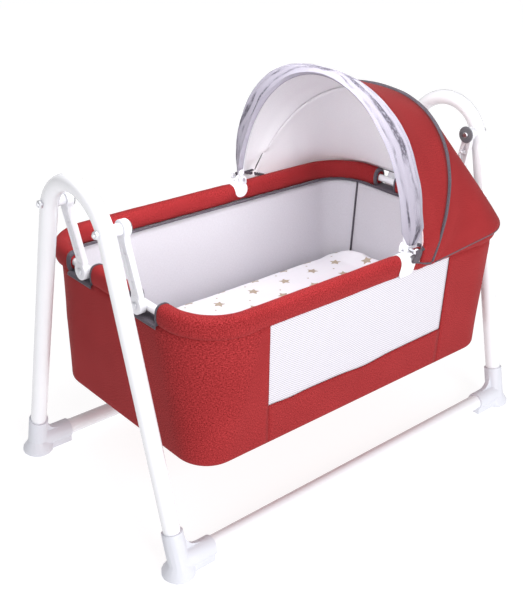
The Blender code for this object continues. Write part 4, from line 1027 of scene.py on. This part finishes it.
    def corner_piping(self, end: End, side: Side, tag: str) -> Object:
        """The thin cord up one corner of the lining."""
        path, turn, inset = [], math.radians(14), 0.0030
        for i in range(10):
            half_x, half_y, radius = self.lining_wall(i / 9)
            x = half_x - radius + (radius - inset) * math.cos(turn)
            y = half_y - radius + (radius - inset) * math.sin(turn)
            z = self.lining_floor_z + 0.03 + (self.piping_z - self.lining_floor_z - 0.03) * (i / 9)
            path.append(Vector((end.value * x, side.value * y, z)))
        cord = sweep(f"corner_piping_{tag}", path, oval(0.0026, 0.0026, sides=10), (0, 1, 0))
        return carry(cord, "basket", TAPE_DARK, "lining")

    def lining(self) -> None:
        """The pale inner walls and floor, the cord round their top and the cords in their corners."""
        obj = lay("lining_walls", self.lining_rows(True), 0.0018, lambda c: Vector((-c.x, -c.y, 0)), wrap=True)
        carry(obj, "basket", LINING_COTTON, "lining")
        cord = [Vector((x, y, self.piping_z)) for x, y in fine_ring(0.4327, 0.2537, 0.0827, (20, 40))]
        piping = sweep("top_piping", cord, oval(0.003, 0.003, sides=12), UP, loop=True)
        cords = [carry(piping, "basket", TAPE_DARK, "lining_piping")]
        cords += [self.corner_piping(*corner) for corner in CORNERS]
        even = [row + row[:1] for row in self.lining_rows(False)]
        floor = self.flat_floor("lining_floor", (0.4355, 0.2495, 0.0665), 0.2052, 1, 0.001)
        carry(floor, "basket", LINING_COTTON, "lining")

    def mattress(self) -> None:
        """The soft mattress: its rings are lofted, remeshed and puffed, and its far end curls up."""
        bottom, half_x, half_y, radius = 0.2066, 0.429, 0.243, 0.060
        edge_z, crown, curl = 0.274, 0.010, 0.032
        depth = edge_z - bottom
        edge = ((0.003, 0.12), (0.001, 0.35), (0.001, 0.7), (0.005, 0.9), (0.014, 1.0))
        levels = ((0.05, 0.0), (0.012, 0.0), *edge)
        crowned = ((0.035, 0.45), (0.08, 0.75), (0.15, 0.93), (0.205, 1.0))
        stack = [(inset, bottom + depth * share) for inset, share in levels]
        stack += [(inset, edge_z + crown * share) for inset, share in crowned]
        rows = []
        for inset, z in stack:
            row = []
            for x, y in fine_ring(half_x - inset, half_y - inset, max(radius - inset, 0.016), (18, 36)):
                pull = 0.004 * math.cos(QUARTER * min(abs(x) / half_x, 1))
                run = clamp((x - 0.335) / (half_x - 0.335))
                middle = 1 - min(abs(y) / half_y, 1) ** 4
                lift = curl * run * run * (3 - 2 * run) * middle * (z - bottom) / depth
                row.append(Vector((x, y - math.copysign(pull, y), z + lift)))
            rows.append(row)
        obj = cloth_mesh("star_mattress", rows, wrap=True)
        with editing(obj):
            bpy.ops.mesh.fill_holes(sides=0)
            bpy.ops.mesh.select_all(action="SELECT")
            bpy.ops.mesh.normals_make_consistent(inside=False)
        obj.data.remesh_voxel_size = 0.007
        bpy.ops.object.voxel_remesh()
        swell(obj, 3.0, 0.006)
        for vertex in obj.data.vertices:
            point = vertex.co
            if point.z > 0.24:
                vertex.co.z += 0.0016 * soft_noise(point, 9.0, 6.0) + 0.0006 * soft_noise(point, 27.0, 2.0)
            vertex.co.z = max(vertex.co.z, bottom + 0.0002)
        refine(obj).data.shade_smooth()
        carry(obj, "basket", STAR_COTTON, "mattress")

    def rail_point(self, end: End, side: Side, share: float, clip_end: float) -> Vector:
        """A point of the rail from outside an arm notch, round a corner, to a clip."""
        radius, start = self.sleeve_r[end], self.notch(end)[1]
        corner_x, corner_y = self.rail_x - radius, self.rail_y - radius
        straight, arc = corner_y - start, radius * QUARTER
        left = share * (straight + arc + abs(end.value * corner_x - clip_end))
        past = left - straight
        if left < straight:
            x, y = self.rail_x, start + left
        elif past < arc:
            x, y = corner_x + radius * math.cos(past / radius), corner_y + radius * math.sin(past / radius)
        else:
            x, y = corner_x - (past - arc), self.rail_y
        return Vector((end.value * x, side.value * y, self.rail_z))

    def sleeve_section(self, at: Vector, along: float, to_end: float, sides: int) -> Section:
        """The section of a padded sleeve at one point of its path.

        Args:
            at: the point.
            along: the distance along the path.
            to_end: the distance to the sleeve's nearer end, where it draws in.
            sides: the section's number of points.

        Returns:
            Its slightly rippled and puckered points.
        """
        size = 0.52 + 0.48 * math.sqrt(max(0.0, 1 - (1 - min(to_end / 0.012, 1.0)) ** 2))
        if abs(abs(at.y) - self.rail_y) < 0.001:
            size *= 1 - 0.07 * clamp((0.034 - abs(at.x - self.clip_x + 0.010)) / 0.012)
        section = []
        for j, (a, b) in enumerate(oval(*self.sleeve_half, 2.5, sides)):
            angle = 2 * math.pi * j / sides
            spot = at + Vector((0, 0, 0.02 * math.sin(angle)))
            pucker = 0.0007 * math.sin(along * 190 + 2 * math.sin(along * 37)) * max(0.0, math.sin(angle)) ** 2
            ripple = 1 + 0.035 * soft_noise(spot, 13.0, j * 0.07) + 0.015 * soft_noise(spot, 42.0, 3.0)
            section.append(((a * ripple + pucker) * size, (b * ripple + pucker) * size))
        return section

    def sleeve(self, place: str, path: Sequence[Vector], bound: Sequence[int]) -> None:
        """One padded sleeve with soft closed ends, and dark tape round the ends at an arm notch.

        Args:
            place: where it is on the rail.
            path: the rail's centre line under it.
            bound: 0 for a taped first end and -1 for a taped last end.
        """
        name, node, sides = f"padded_sleeve_{place}", f"sleeve_{place}", 28
        run = lengths_along(path)
        sections = [self.sleeve_section(p, at, min(at, run[-1] - at), sides) for p, at in zip(path, run)]
        bore = swept_rows(path, oval(0.0096, 0.0096, 2.0, sides), UP)
        obj = cloth_mesh(name, swept_rows(path, sections, UP) + bore[::-1], wrap=True, loop=True)
        with editing(obj):
            bpy.ops.mesh.normals_make_consistent(inside=False)
        refine(obj).data.shade_smooth()
        carry(obj, "basket", MELANGE_RED, node)
        for index in bound:
            inward = ((path[1] - path[0]) if index == 0 else (path[-2] - path[-1])).normalized()
            start = path[index]
            rows_at = [start + inward * d for d in (0.0005, 0.002, 0.005, 0.008, 0.0095)]
            grow = (0.0004, 0.0012, 0.0017, 0.0013, 0.0006)
            shrink = (0.70, 0.83, 0.93, 0.97, 0.985)
            bands = [oval(*(half * k + g for half in self.sleeve_half), 2.5, 32) for g, k in zip(grow, shrink)]
            rows = swept_rows(rows_at, bands, UP)
            tape = lay(f"{name}_tape_{abs(index)}", rows, 0.0009, lambda c, p=start: c - p, wrap=True)
            carry(tape, "basket", TAPE_DARK, node)

    def sleeves(self) -> None:
        """The six lengths of padded sleeve, with the tapes where the rail shows at an arm."""
        for end in End:
            notch = self.notch(end)[0]
            x = end.value * self.rail_x
            path = [Vector((x, notch * (2 * i / 24 - 1), self.rail_z)) for i in range(25)]
            self.sleeve(f"{TAG[end]}_middle", path, (0, -1))
            clip_end = self.clip_x - end.value * 0.0100
            count = 96 if end is End.NEAR else 64
            for side in Side:
                points = [self.rail_point(end, side, i / count, clip_end) for i in range(count + 1)]
                self.sleeve(f"{TAG[side]}_{TAG[end]}", points, (0,))
                self.notch_tape(end, side)

    def notch_tape(self, end: End, side: Side) -> None:
        """The dark tape that covers the cloth's top edge where the rail shows at an arm."""
        low, high = self.notch(end)
        rows = []
        for i in range(13):
            y = side.value * (low - 0.007 + (high - low + 0.014) * i / 12)
            rows.append([Vector((end.value * x, y, z)) for x, z in self.notch_fold])
        obj = lay(f"notch_tape_{TAG[end]}_{TAG[side]}", rows, 0.0012, lambda c: UP)
        carry(obj, "basket", TAPE_DARK, "basket_shell")

    def clip(self, side: Side) -> None:
        """A moulded saddle over the sleeve, under the two ears that hold the hood's hinge pin."""
        tag, node = TAG[side], f"rail_clip_{TAG[side]}"
        ears = polish(node, f"moulded_clip_{tag}", 0.0008)
        with editing(ears):
            bpy.ops.mesh.bisect(plane_co=(0, 0, 0.5292), plane_no=(0, 0, 1), clear_inner=True, use_fill=True)
        half, crown_z = 0.0173, 0.5105
        outer, inner = crown_z - 0.487, crown_z - 0.4965
        profile = [(-half, -outer + outer * i / 12) for i in range(12)]
        profile += [(-half * math.cos(math.pi * i / 16), half * math.sin(math.pi * i / 16)) for i in range(17)]
        profile += [(half, -inner * i / 12) for i in range(1, 13)]
        run = lengths_along([Vector((0, a, b)) for a, b in profile])
        rows = []
        for (right, up), at in zip(profile, run):
            share = at / run[-1]
            middle = self.clip_x - 0.022 + 0.014 * min(share / 0.5, 1.0)
            corner = 0.011 if share < 0.5 else 0.015
            close = max(corner - min(at, run[-1] - at), 0.0)
            wide = 0.0225 - 0.0055 * max(share * 2 - 1, 0.0)
            wide -= corner - math.sqrt(max(corner * corner - close * close, 0.0))
            y = side.value * (self.rail_y - right)
            rows.append([Vector((middle + wide * (j / 5 - 1), y, crown_z + up)) for j in range(11)])
        saddle = lay(
            f"moulded_saddle_{tag}",
            rows,
            0.0021,
            lambda c: Vector((0, side.value * self.rail_y - c.y, crown_z - c.z)),
            levels=1,
        )
        for piece in (ears, smooth(saddle)):
            carry(piece, "basket", ABS_WHITE, node)

    def build(self) -> None:
        """Build the basket and dress its rail, board, clips and pins."""
        self.shell()
        self.lining()
        self.mattress()
        self.sleeves()
        rounded("basket_rail", "round_basket_rail", "basket", POWDER_WHITE, 0)
        rounded("base_board", "hard_base_board", "basket", HARDBOARD, 0.001)
        for side in Side:
            self.clip(side)
            rounded(f"hood_pin_{TAG[side]}", f"hinge_pin_{TAG[side]}", "basket", ZINC_PLATE, 0.0003)


@dataclass(frozen=True)
class Panel:
    """One folding panel of the hood: its CAD node, the two bodies that carry it and where its fold runs."""

    node: str
    bodies: tuple[str, str]
    start: Vector
    end: Vector

    def fold(self, obj: Object, finish: Finish, even: Rows | None = None, rest: str = "") -> None:
        """Dress a piece of this panel, hide the panel's CAD node and bake the piece's place into its mesh.

        Args:
            obj: the finished piece.
            finish: what it is made of.
            even: a sheet's rows before they were wrinkled; not used.
            rest: what a sheet rests on; not used.
        """
        finish.dress(obj)
        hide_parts(self.node)
        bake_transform(obj)
        LOG.info("%s blended from %s to %s", obj.name, *self.bodies)


FRONT_PANEL = Panel(
    "hood_front_panel", ("hoop", "rib"), Vector((0.0864, 0, 0.5233)), Vector((0.1362, 0, 0.500))
)
REAR_PANEL = Panel(
    "hood_rear_panel", ("rib", "basket"), Vector((0.1445, 0, 0.500)), Vector((0.2895, 0, 0.4323))
)


@dataclass
class Hood:
    """The folding hood: two bows, outer cloth, inner lining, bindings and the gathered net."""

    clip_x: float = 0.0915
    hinge_z: float = 0.538
    hoop_y: float = 0.265
    hoop_z: float = 0.520
    hoop_height: float = 0.331
    rib_x: float = 0.140
    rib_z: float = 0.500
    rib_y: float = 0.2955
    rib_height: float = 0.325
    rib_lean: float = math.radians(25)
    rib_exponent: float = 2.3
    edge_y: float = 0.290
    edge_z: float = 0.548
    edge_height: float = 0.3045
    flap_share: float = 0.04
    hem_y: float = 0.296
    columns: int = 100

    def rib_point(self, share: float) -> Vector:
        """A point of the leaning rib."""
        side, rise = arch(self.rib_y, self.rib_height, self.rib_exponent, share)
        x, z = self.rib_x + rise * math.sin(self.rib_lean), self.rib_z + rise * math.cos(self.rib_lean)
        return Vector((x, side, z))

    def seam_point(self, share: float, offset: float) -> Vector:
        """A point of the seam beside the rib."""
        rise = 0.004 / math.cos(self.rib_lean)
        first = math.asin((rise / self.rib_height) ** (self.rib_exponent / 2)) / math.pi
        return self.rib_point(first + (1 - 2 * first) * share) + Vector((offset, 0, 0))

    def edge_point(self, share: float) -> Vector:
        """A point of the hood's front edge, which flares back and drops past the hinge at its feet."""
        to_foot = min(share, 1 - share)
        if to_foot < self.flap_share:
            drop = 1 - to_foot / self.flap_share
            side = math.copysign(self.edge_y + 0.004 * drop, share - 0.5)
            return Vector((self.clip_x + 0.0235 - 0.010 * drop, side, self.edge_z - 0.036 * drop))
        over = (share - self.flap_share) / (1 - 2 * self.flap_share)
        side, rise = arch(self.edge_y, self.edge_height, 2.4, over)
        flare = 0.0168 * math.exp(-((rise / 0.05) ** 2))
        return Vector((self.clip_x + 0.0067 + flare, side, self.edge_z + rise))

    def hem_point(self, share: float) -> Vector:
        """A point of the hem, from beside the rib on the -Y side round the far end to the +Y side."""
        points = [Vector((0.158, self.hem_y, 0.500)), Vector((0.345, self.hem_y, 0.515))]
        for i in range(1, 13):
            turn = QUARTER * i / 12
            x, y = 0.345 + 0.1100 * math.sin(turn), 0.1725 + 0.1235 * math.cos(turn)
            points.append(Vector((x, y, 0.515 + 0.0134 * i / 12)))
        points += [Vector((0.455, 0.110, 0.5315)), Vector((0.455, 0, 0.5315))]
        spot = point_along(points, min(share, 1 - share) * 2)
        return Vector((spot.x, -spot.y if share < 0.5 else spot.y, spot.z))

    def front_rows(self, count: int, wrinkled: bool) -> Rows:
        """Rows of the front panel, from the front edge to the rib's seam."""
        rows = []
        for i in range(count + 1):
            mix, row = i / count, []
            for j in range(self.columns + 1):
                share = j / self.columns
                point = self.edge_point(share).lerp(self.seam_point(share, -0.0038), mix)
                if wrinkled:
                    outward = (point - Vector((point.x, 0, 0.56))).normalized()
                    sag = math.sin(math.pi * mix)
                    point = point - outward * sag * (0.0022 + 0.0018 * soft_noise(point, 11.0, 4.0))
                low = clamp((0.568 - point.z) / 0.012) * min(14 * mix, 14 * (1 - mix), 1.0)
                point.y += (math.copysign(0.2997, point.y) - point.y) * low
                row.append(point)
            rows.append(row)
        return rows

    def rear_rows(self, count: int, wrinkled: bool) -> Rows:
        """Rows of the rear panel, from the rib's seam to the hem."""
        rows = []
        for i in range(count + 1):
            mix, row = i / count, []
            angle = QUARTER * mix
            for j in range(self.columns + 1):
                share = j / self.columns
                start, end = self.seam_point(share, 0.0045), self.hem_point(share)
                centre = Vector((start.x, start.y, end.z))
                bowed = centre + (start - centre) * math.cos(angle) + (end - centre) * math.sin(angle)
                point = start.lerp(end, mix).lerp(bowed, 0.08)
                if wrinkled:
                    outward = (point - Vector((0.20, 0, 0.5))).normalized()
                    fold = 0.0014 * math.sin(share * 26 + 4 * mix + 2 * soft_noise(point, 4.0, 9.0))
                    point += outward * math.sin(math.pi * mix) * (0.0030 * soft_noise(point, 6.0, 5.0) + fold)
                row.append(point)
            rows.append(row)
        return rows

    def lining_rows(self, rows: Rows, centre: Vector, seam_first: bool) -> Rows:
        """Rows of a lining: the outer cloth's rows moved inwards, and further in under the rib.

        Args:
            rows: the outer cloth's rows.
            centre: a point inside the hood.
            seam_first: whether the first row is the one at the rib.

        Returns:
            The lining's rows, whose row at the rib reaches to the rib's middle.
        """
        count, moved = len(rows) - 1, []
        for i, row in enumerate(rows):
            away = (i if seam_first else count - i) / count
            seam = max(1 - away * 8, 0.0)
            depth = 0.0034 + 0.0062 * math.exp(-((away / 0.12) ** 2)) + (0.0 if seam_first else 0.0014 * seam)
            reach = Vector((0.0105 if not seam_first else -0.0030, 0, 0)) * seam
            free = clamp((away - 0.1) / 0.15)
            moved.append([])
            for p in row:
                low = clamp((0.562 - p.z) / 0.014) * free
                inward = depth + (0.0019 - depth) * low
                spot = p + (centre - p).normalized() * inward + reach
                moved[-1].append(self.clear_of_sleeve(spot, abs(p.y) - 0.0019))
        return moved

    def clear_of_sleeve(self, point: Vector, limit: float) -> Vector:
        """Keep a low point of the lining inside the outer cloth, and off the rail's sleeve as it folds."""
        bound = min(0.2915 - 0.0070 * clamp((point.z - 0.550) / 0.040), limit)
        if point.z < 0.590 and abs(point.y) < bound:
            share = clamp((point.x - 0.108) / 0.012) * clamp((0.280 - point.x) / 0.060)
            point.y += (math.copysign(bound, point.y) - point.y) * share
        return point

    def cloths(self) -> None:
        """The red outer cloth in two panels, then their pale linings."""
        for lined in (False, True):
            for name, panel, make, counts, rest, centre in (
                ("front", FRONT_PANEL, self.front_rows, (10, 16), "round_front_hoop", Vector((0.15, 0, 0.60))),
                ("rear", REAR_PANEL, self.rear_rows, (22, 24), "round_hood_rib", Vector((0.20, 0, 0.60))),
            ):
                rows = make(counts[lined], True)
                if lined:
                    inner = self.lining_rows(rows, centre, panel is REAR_PANEL)
                    obj = lay(f"hood_{name}_lining", inner, 0.001, lambda c: -UP)
                    # The hood lining's pale colour is painted light inside the shaded hood.
                    panel.fold(obj, HOOD_LINING_PAINTED_LIGHT, rows, "hood_front_cloth")
                else:
                    obj = lay(f"hood_{name}_cloth", rows, 0.0014, lambda c: UP)
                    panel.fold(obj, MELANGE_RED, make(counts[0], False), rest)

    def bows(self) -> None:
        """The white front hoop, and the rib's dark rod, parted from the white eyes at its feet."""
        rounded("front_hoop", "round_front_hoop", "hoop", ABS_WHITE, 0.0006)
        cut = {"plane_co": (self.clip_x + 0.0065, 0, 0), "plane_no": (1, 0, 0), "use_fill": True}
        halves = (("round_hood_rib", SLEEVED_ROD, False), ("moulded_rib_eyes", ABS_WHITE, True))
        for name, finish, eyes in halves:
            piece = polish("hood_rib", name, 0)
            with editing(piece):
                bpy.ops.mesh.bisect(clear_inner=not eyes, clear_outer=eyes, **cut)
            carry(piece, "rib", finish, "hood_rib")

    def bindings(self) -> None:
        """The dark tape over the rib and round the flaps, the hem's cord, and the pale cord along the front
        edge that paints a highlight on its rolled edge.
        """
        tape = []
        for i in range(101):
            point = self.seam_point(i / 100, 0.0003)
            outward = Vector((0, point.y / 0.295, (point.z - 0.52) / 0.3)).normalized()
            tape.append(point + outward * 0.0016)
        section = oval(0.0044, 0.0034, 2.2, 14)
        sections = [[(a * (1 + 0.06 * math.sin(i * 0.9)), b) for a, b in section] for i in range(101)]
        carry(sweep("rib_binding", tape, sections, (1, 0, 0)), "rib", TAPE_DARK, "hood_rib")
        # The pale cord along the front edge is a painted highlight on the red cloth's rolled edge.
        edge = [self.edge_point(i / 140) + Vector((-0.0004, 0, 0)) for i in range(141)]
        FRONT_PANEL.fold(sweep("edge_ribbon", edge, oval(0.0014, 0.0018, 2, 10), (1, 0, 0)), EDGE_HIGHLIGHT_CORD)
        cord = [self.hem_point(i / 160) + Vector((0, 0, -0.0012)) for i in range(161)]
        REAR_PANEL.fold(sweep("hem_cord", cord, oval(0.0017, 0.0024, 2, 10), UP), TAPE_DARK)
        for side in Side:
            self.flap_binding(side)
            self.inner_band(side)

    def inner_band(self, side: Side) -> None:
        """The dark tape inside the hood's lower edge, in one length on each side of the rib."""
        for name, panel, stops in (
            ("front", FRONT_PANEL, ((0.1040, 0.5475), (0.1280, 0.5400), (0.1500, 0.5335))),
            ("rear", REAR_PANEL, ((0.1565, 0.5315), (0.1740, 0.5260), (0.1900, 0.5205))),
        ):
            path = []
            for i in range(17):
                index = min(i // 8, 1)
                (x0, z0), (x1, z1) = stops[index : index + 2]
                x, z = (a + (b - a) * (i / 8 - index) for a, b in ((x0, x1), (z0, z1)))
                y = 0.2850 + 0.0056 * clamp((x - 0.106) / 0.016)
                path.append(Vector((x, side.value * y, z + 0.0008 * math.sin(i * 1.7))))
            tape = sweep(f"inner_band_{name}_{TAG[side]}", path, oval(0.0012, 0.0036, 2.4, 12), UP)
            panel.fold(tape, TAPE_DARK)

    def flap_binding(self, side: Side) -> None:
        """The wavy dark tape along one flap's lower edge, and the dark corner patch behind the clip."""
        start = self.clip_x + (-0.0095 if side is Side.FRONT else 0.009)
        first, corner = Vector((start + 0.002, 0.2925, 0.5165)), Vector((self.clip_x + 0.016, 0.2935, 0.511))
        stops, path = [first, corner, Vector((0.128, self.hem_y, 0.5035)), Vector((0.142, 0.2965, 0.5015))], []
        for i in range(31):
            point = point_along(stops, i / 30)
            wave = Vector((0, 0.0004 * math.sin(i * 1.3), 0.0007 * math.sin(i * 1.9)))
            path.append(Vector((point.x, side.value * point.y, point.z)) + wave)
        tape = sweep(f"flap_binding_{TAG[side]}", path, oval(0.0017, 0.0034, 2.4, 12), UP)
        FRONT_PANEL.fold(tape, TAPE_DARK)
        top, far_top = Vector((start, 0.2925, 0.545)), Vector((self.clip_x + 0.0235, 0.2915, 0.546))
        rows = []
        for i in range(7):
            near, far = top.lerp(first, i / 6), far_top.lerp(corner, i / 6)
            rows.append([])
            for j in range(9):
                point = near.lerp(far, j / 8)
                away = math.hypot(point.x - self.clip_x, point.z - self.hinge_z)
                y = point.y + 0.0098 * math.exp(-((away / 0.016) ** 2))
                rows[-1].append(Vector((point.x, side.value * y, point.z)))
        FRONT_PANEL.fold(lay(f"corner_patch_{TAG[side]}", rows, 0.0009, levels=1), TAPE_DARK)

    def net_row(self, index: int, steps: int) -> list[Vector]:
        """The net across the hood at one place of the hoop, from inside the hoop to the hood's front edge.

        Args:
            index: the number of the place along the hoop.
            steps: the number of the last place.

        Returns:
            The row's points, drawn together near the hoop's feet.
        """
        foot = math.asin((self.hinge_z + 0.007 - self.hoop_z) / self.hoop_height) / math.pi
        edge_foot = self.flap_share + 0.002
        at = foot + (1 - 2 * foot) * index / steps
        side, rise = arch(self.hoop_y, self.hoop_height, 2, at)
        wider, higher = arch(self.hoop_y + 0.01, self.hoop_height + 0.01, 2, at)
        outward = Vector((0, wider - side, higher - rise)).normalized()
        base = Vector((self.clip_x, side, self.hoop_z + rise))
        nose = -0.0115 + 0.0025 * soft_noise(base, 14.0, 2.0)
        inner = base - outward * 0.0078 + Vector((-0.0035, 0, 0))
        front = base - outward * 0.0010 + Vector((nose, 0, 0))
        low = base + outward * 0.0068 + Vector((nose * 0.6, 0, 0))
        high = self.edge_point(edge_foot + (1 - 2 * edge_foot) * index / steps)
        high.x += 0.0030 + 0.0025 * soft_noise(base, 16.0, 9.0)
        high += outward * (0.0036 + 0.0022 * soft_noise(base, 13.0, 6.0))
        row = []
        for j in range(13):
            turn, half = QUARTER * j / 6, inner if j < 6 else low
            bend = front + (half - front) * (1 - math.sin(turn if j < 6 else math.pi - turn))
            spot = half.lerp(front, abs(math.sin(turn)))
            row.append(Vector((bend.x, spot.y, spot.z)))
        for j in range(1, 41):
            t = j / 40
            eased = low + (high - low) * (1 - (1 - t) ** 2.2)
            hold = math.sin(math.pi * t)
            puff = hold * (0.0022 + 0.0030 * soft_noise(base, 9.0, 4.0))
            folds = 0.0016 * math.sin(t * 24 + 2.4 * soft_noise(base, 6.0, 7.0)) * hold**0.5
            crinkle = 0.0012 * soft_noise(base + Vector((t, 0, 0)), 34.0, 3.0)
            point = Vector((low.lerp(high, t).x, eased.y, eased.z))
            row.append(point + outward * (puff + folds + crinkle))
        knot, gather = base + outward * 0.013, min(0.30 + min(index, steps - index) / 6, 1.0)
        return [knot.lerp(point, gather) for point in row]

    def net(self) -> None:
        """The mosquito net gathered over the hoop, and drawn in at its feet."""
        steps = 160
        rows = [self.net_row(i, steps) for i in range(steps + 1)]
        obj = carry(lay("gathered_net", rows, 0.0007, lambda c: UP), "hoop", HOOD_NET, "net_bundle")

    def build(self) -> None:
        """Build the whole hood."""
        self.bows()
        self.cloths()
        self.bindings()
        self.net()


@dataclass
class Studio:
    """A pale floor, soft lights and the photograph's camera."""

    eye: Triple = (-1.3936, -1.4575, 1.3342)
    yaw: float = -0.7381
    pitch: float = 0.4592
    roll: float = 0.0355
    lens: float = 58.74

    def camera(self) -> None:
        """Place the camera at the fitted view."""
        sy, cy = math.sin(-self.yaw), math.cos(-self.yaw)
        ahead = Vector((sy * math.cos(self.pitch), cy * math.cos(self.pitch), -math.sin(self.pitch)))
        right = ahead.cross(UP).normalized()
        up = right.cross(ahead)
        c, s = math.cos(self.roll), math.sin(self.roll)
        right, up = right * c + up * s, up * c - right * s
        data = bpy.data.cameras.new("studio_camera")
        data.lens, data.sensor_width = self.lens, 36.0
        obj = bpy.data.objects.new("studio_camera", data)
        obj.matrix_world = Matrix.Translation(self.eye) @ Matrix((right, up, -ahead)).transposed().to_4x4()
        bpy.context.scene.collection.objects.link(obj)
        bpy.context.scene.camera = obj

    def lamp(self, name: str, place: Triple, power: float, size: float, target: Triple = (0, 0, 0.4)) -> None:
        """Hang one square soft light that looks at a target.

        Args:
            name: the light's name.
            place: where it hangs.
            power: its power in watts.
            size: the length of its sides.
            target: the point that it looks at.
        """
        data = bpy.data.lights.new(name, "AREA")
        data.energy, data.size = power, size
        obj = bpy.data.objects.new(name, data)
        aim = (Vector(target) - Vector(place)).to_track_quat("-Z", "Y")
        obj.matrix_world = Matrix.Translation(place) @ aim.to_matrix().to_4x4()
        bpy.context.scene.collection.objects.link(obj)

    def floor(self) -> None:
        """Lay a wide pale floor."""
        bpy.ops.object.select_all(action="DESELECT")
        bpy.ops.mesh.primitive_plane_add(size=30, location=(0, 0, -0.0005))
        obj = settle(bpy.context.object, "studio_floor")
        paper = bpy.data.materials.new("pale_paper")
        paper.use_nodes = True
        glow = {"Emission Color": linear("#FFFFFF"), "Emission Strength": 0.85}
        Graph(paper.node_tree).surface({"Base Color": linear("#8C8C8E"), "Roughness": 0.9, **glow})
        obj.data.materials.append(paper)

    def build(self) -> None:
        """Set the whole studio up."""
        scene = bpy.context.scene
        scene.view_settings.view_transform = "Standard"
        world = bpy.data.worlds.new("studio_light")
        world.use_nodes = True
        sky = world.node_tree.nodes["Background"]
        sky.inputs["Color"].default_value = linear("#FFFFFF")
        sky.inputs["Strength"].default_value = 0.49
        scene.world = world
        self.camera()
        self.floor()
        self.lamp("key_light", (-0.6, -3.2, 1.6), 86.0, 1.8)
        self.lamp("fill_light", (-3.0, -0.8, 1.7), 1.0, 2.2)
        self.lamp("overhead_light", (-0.62, -0.42, 1.60), 2.0, 0.7, (0.12, 0.05, 0.45))
        self.lamp("hood_light", (-0.32, -0.08, 1.14), 7.0, 0.4, (0.28, 0.02, 0.60))


def main() -> None:
    """Build the studio and every part of the cradle in order."""
    logging.basicConfig(level=logging.INFO, format="%(name)s: %(message)s")
    Studio().build()
    Stand().build()
    HangingArms().build()
    Basket().build()
    Hood().build()


if __name__ == "__main__":
    main()
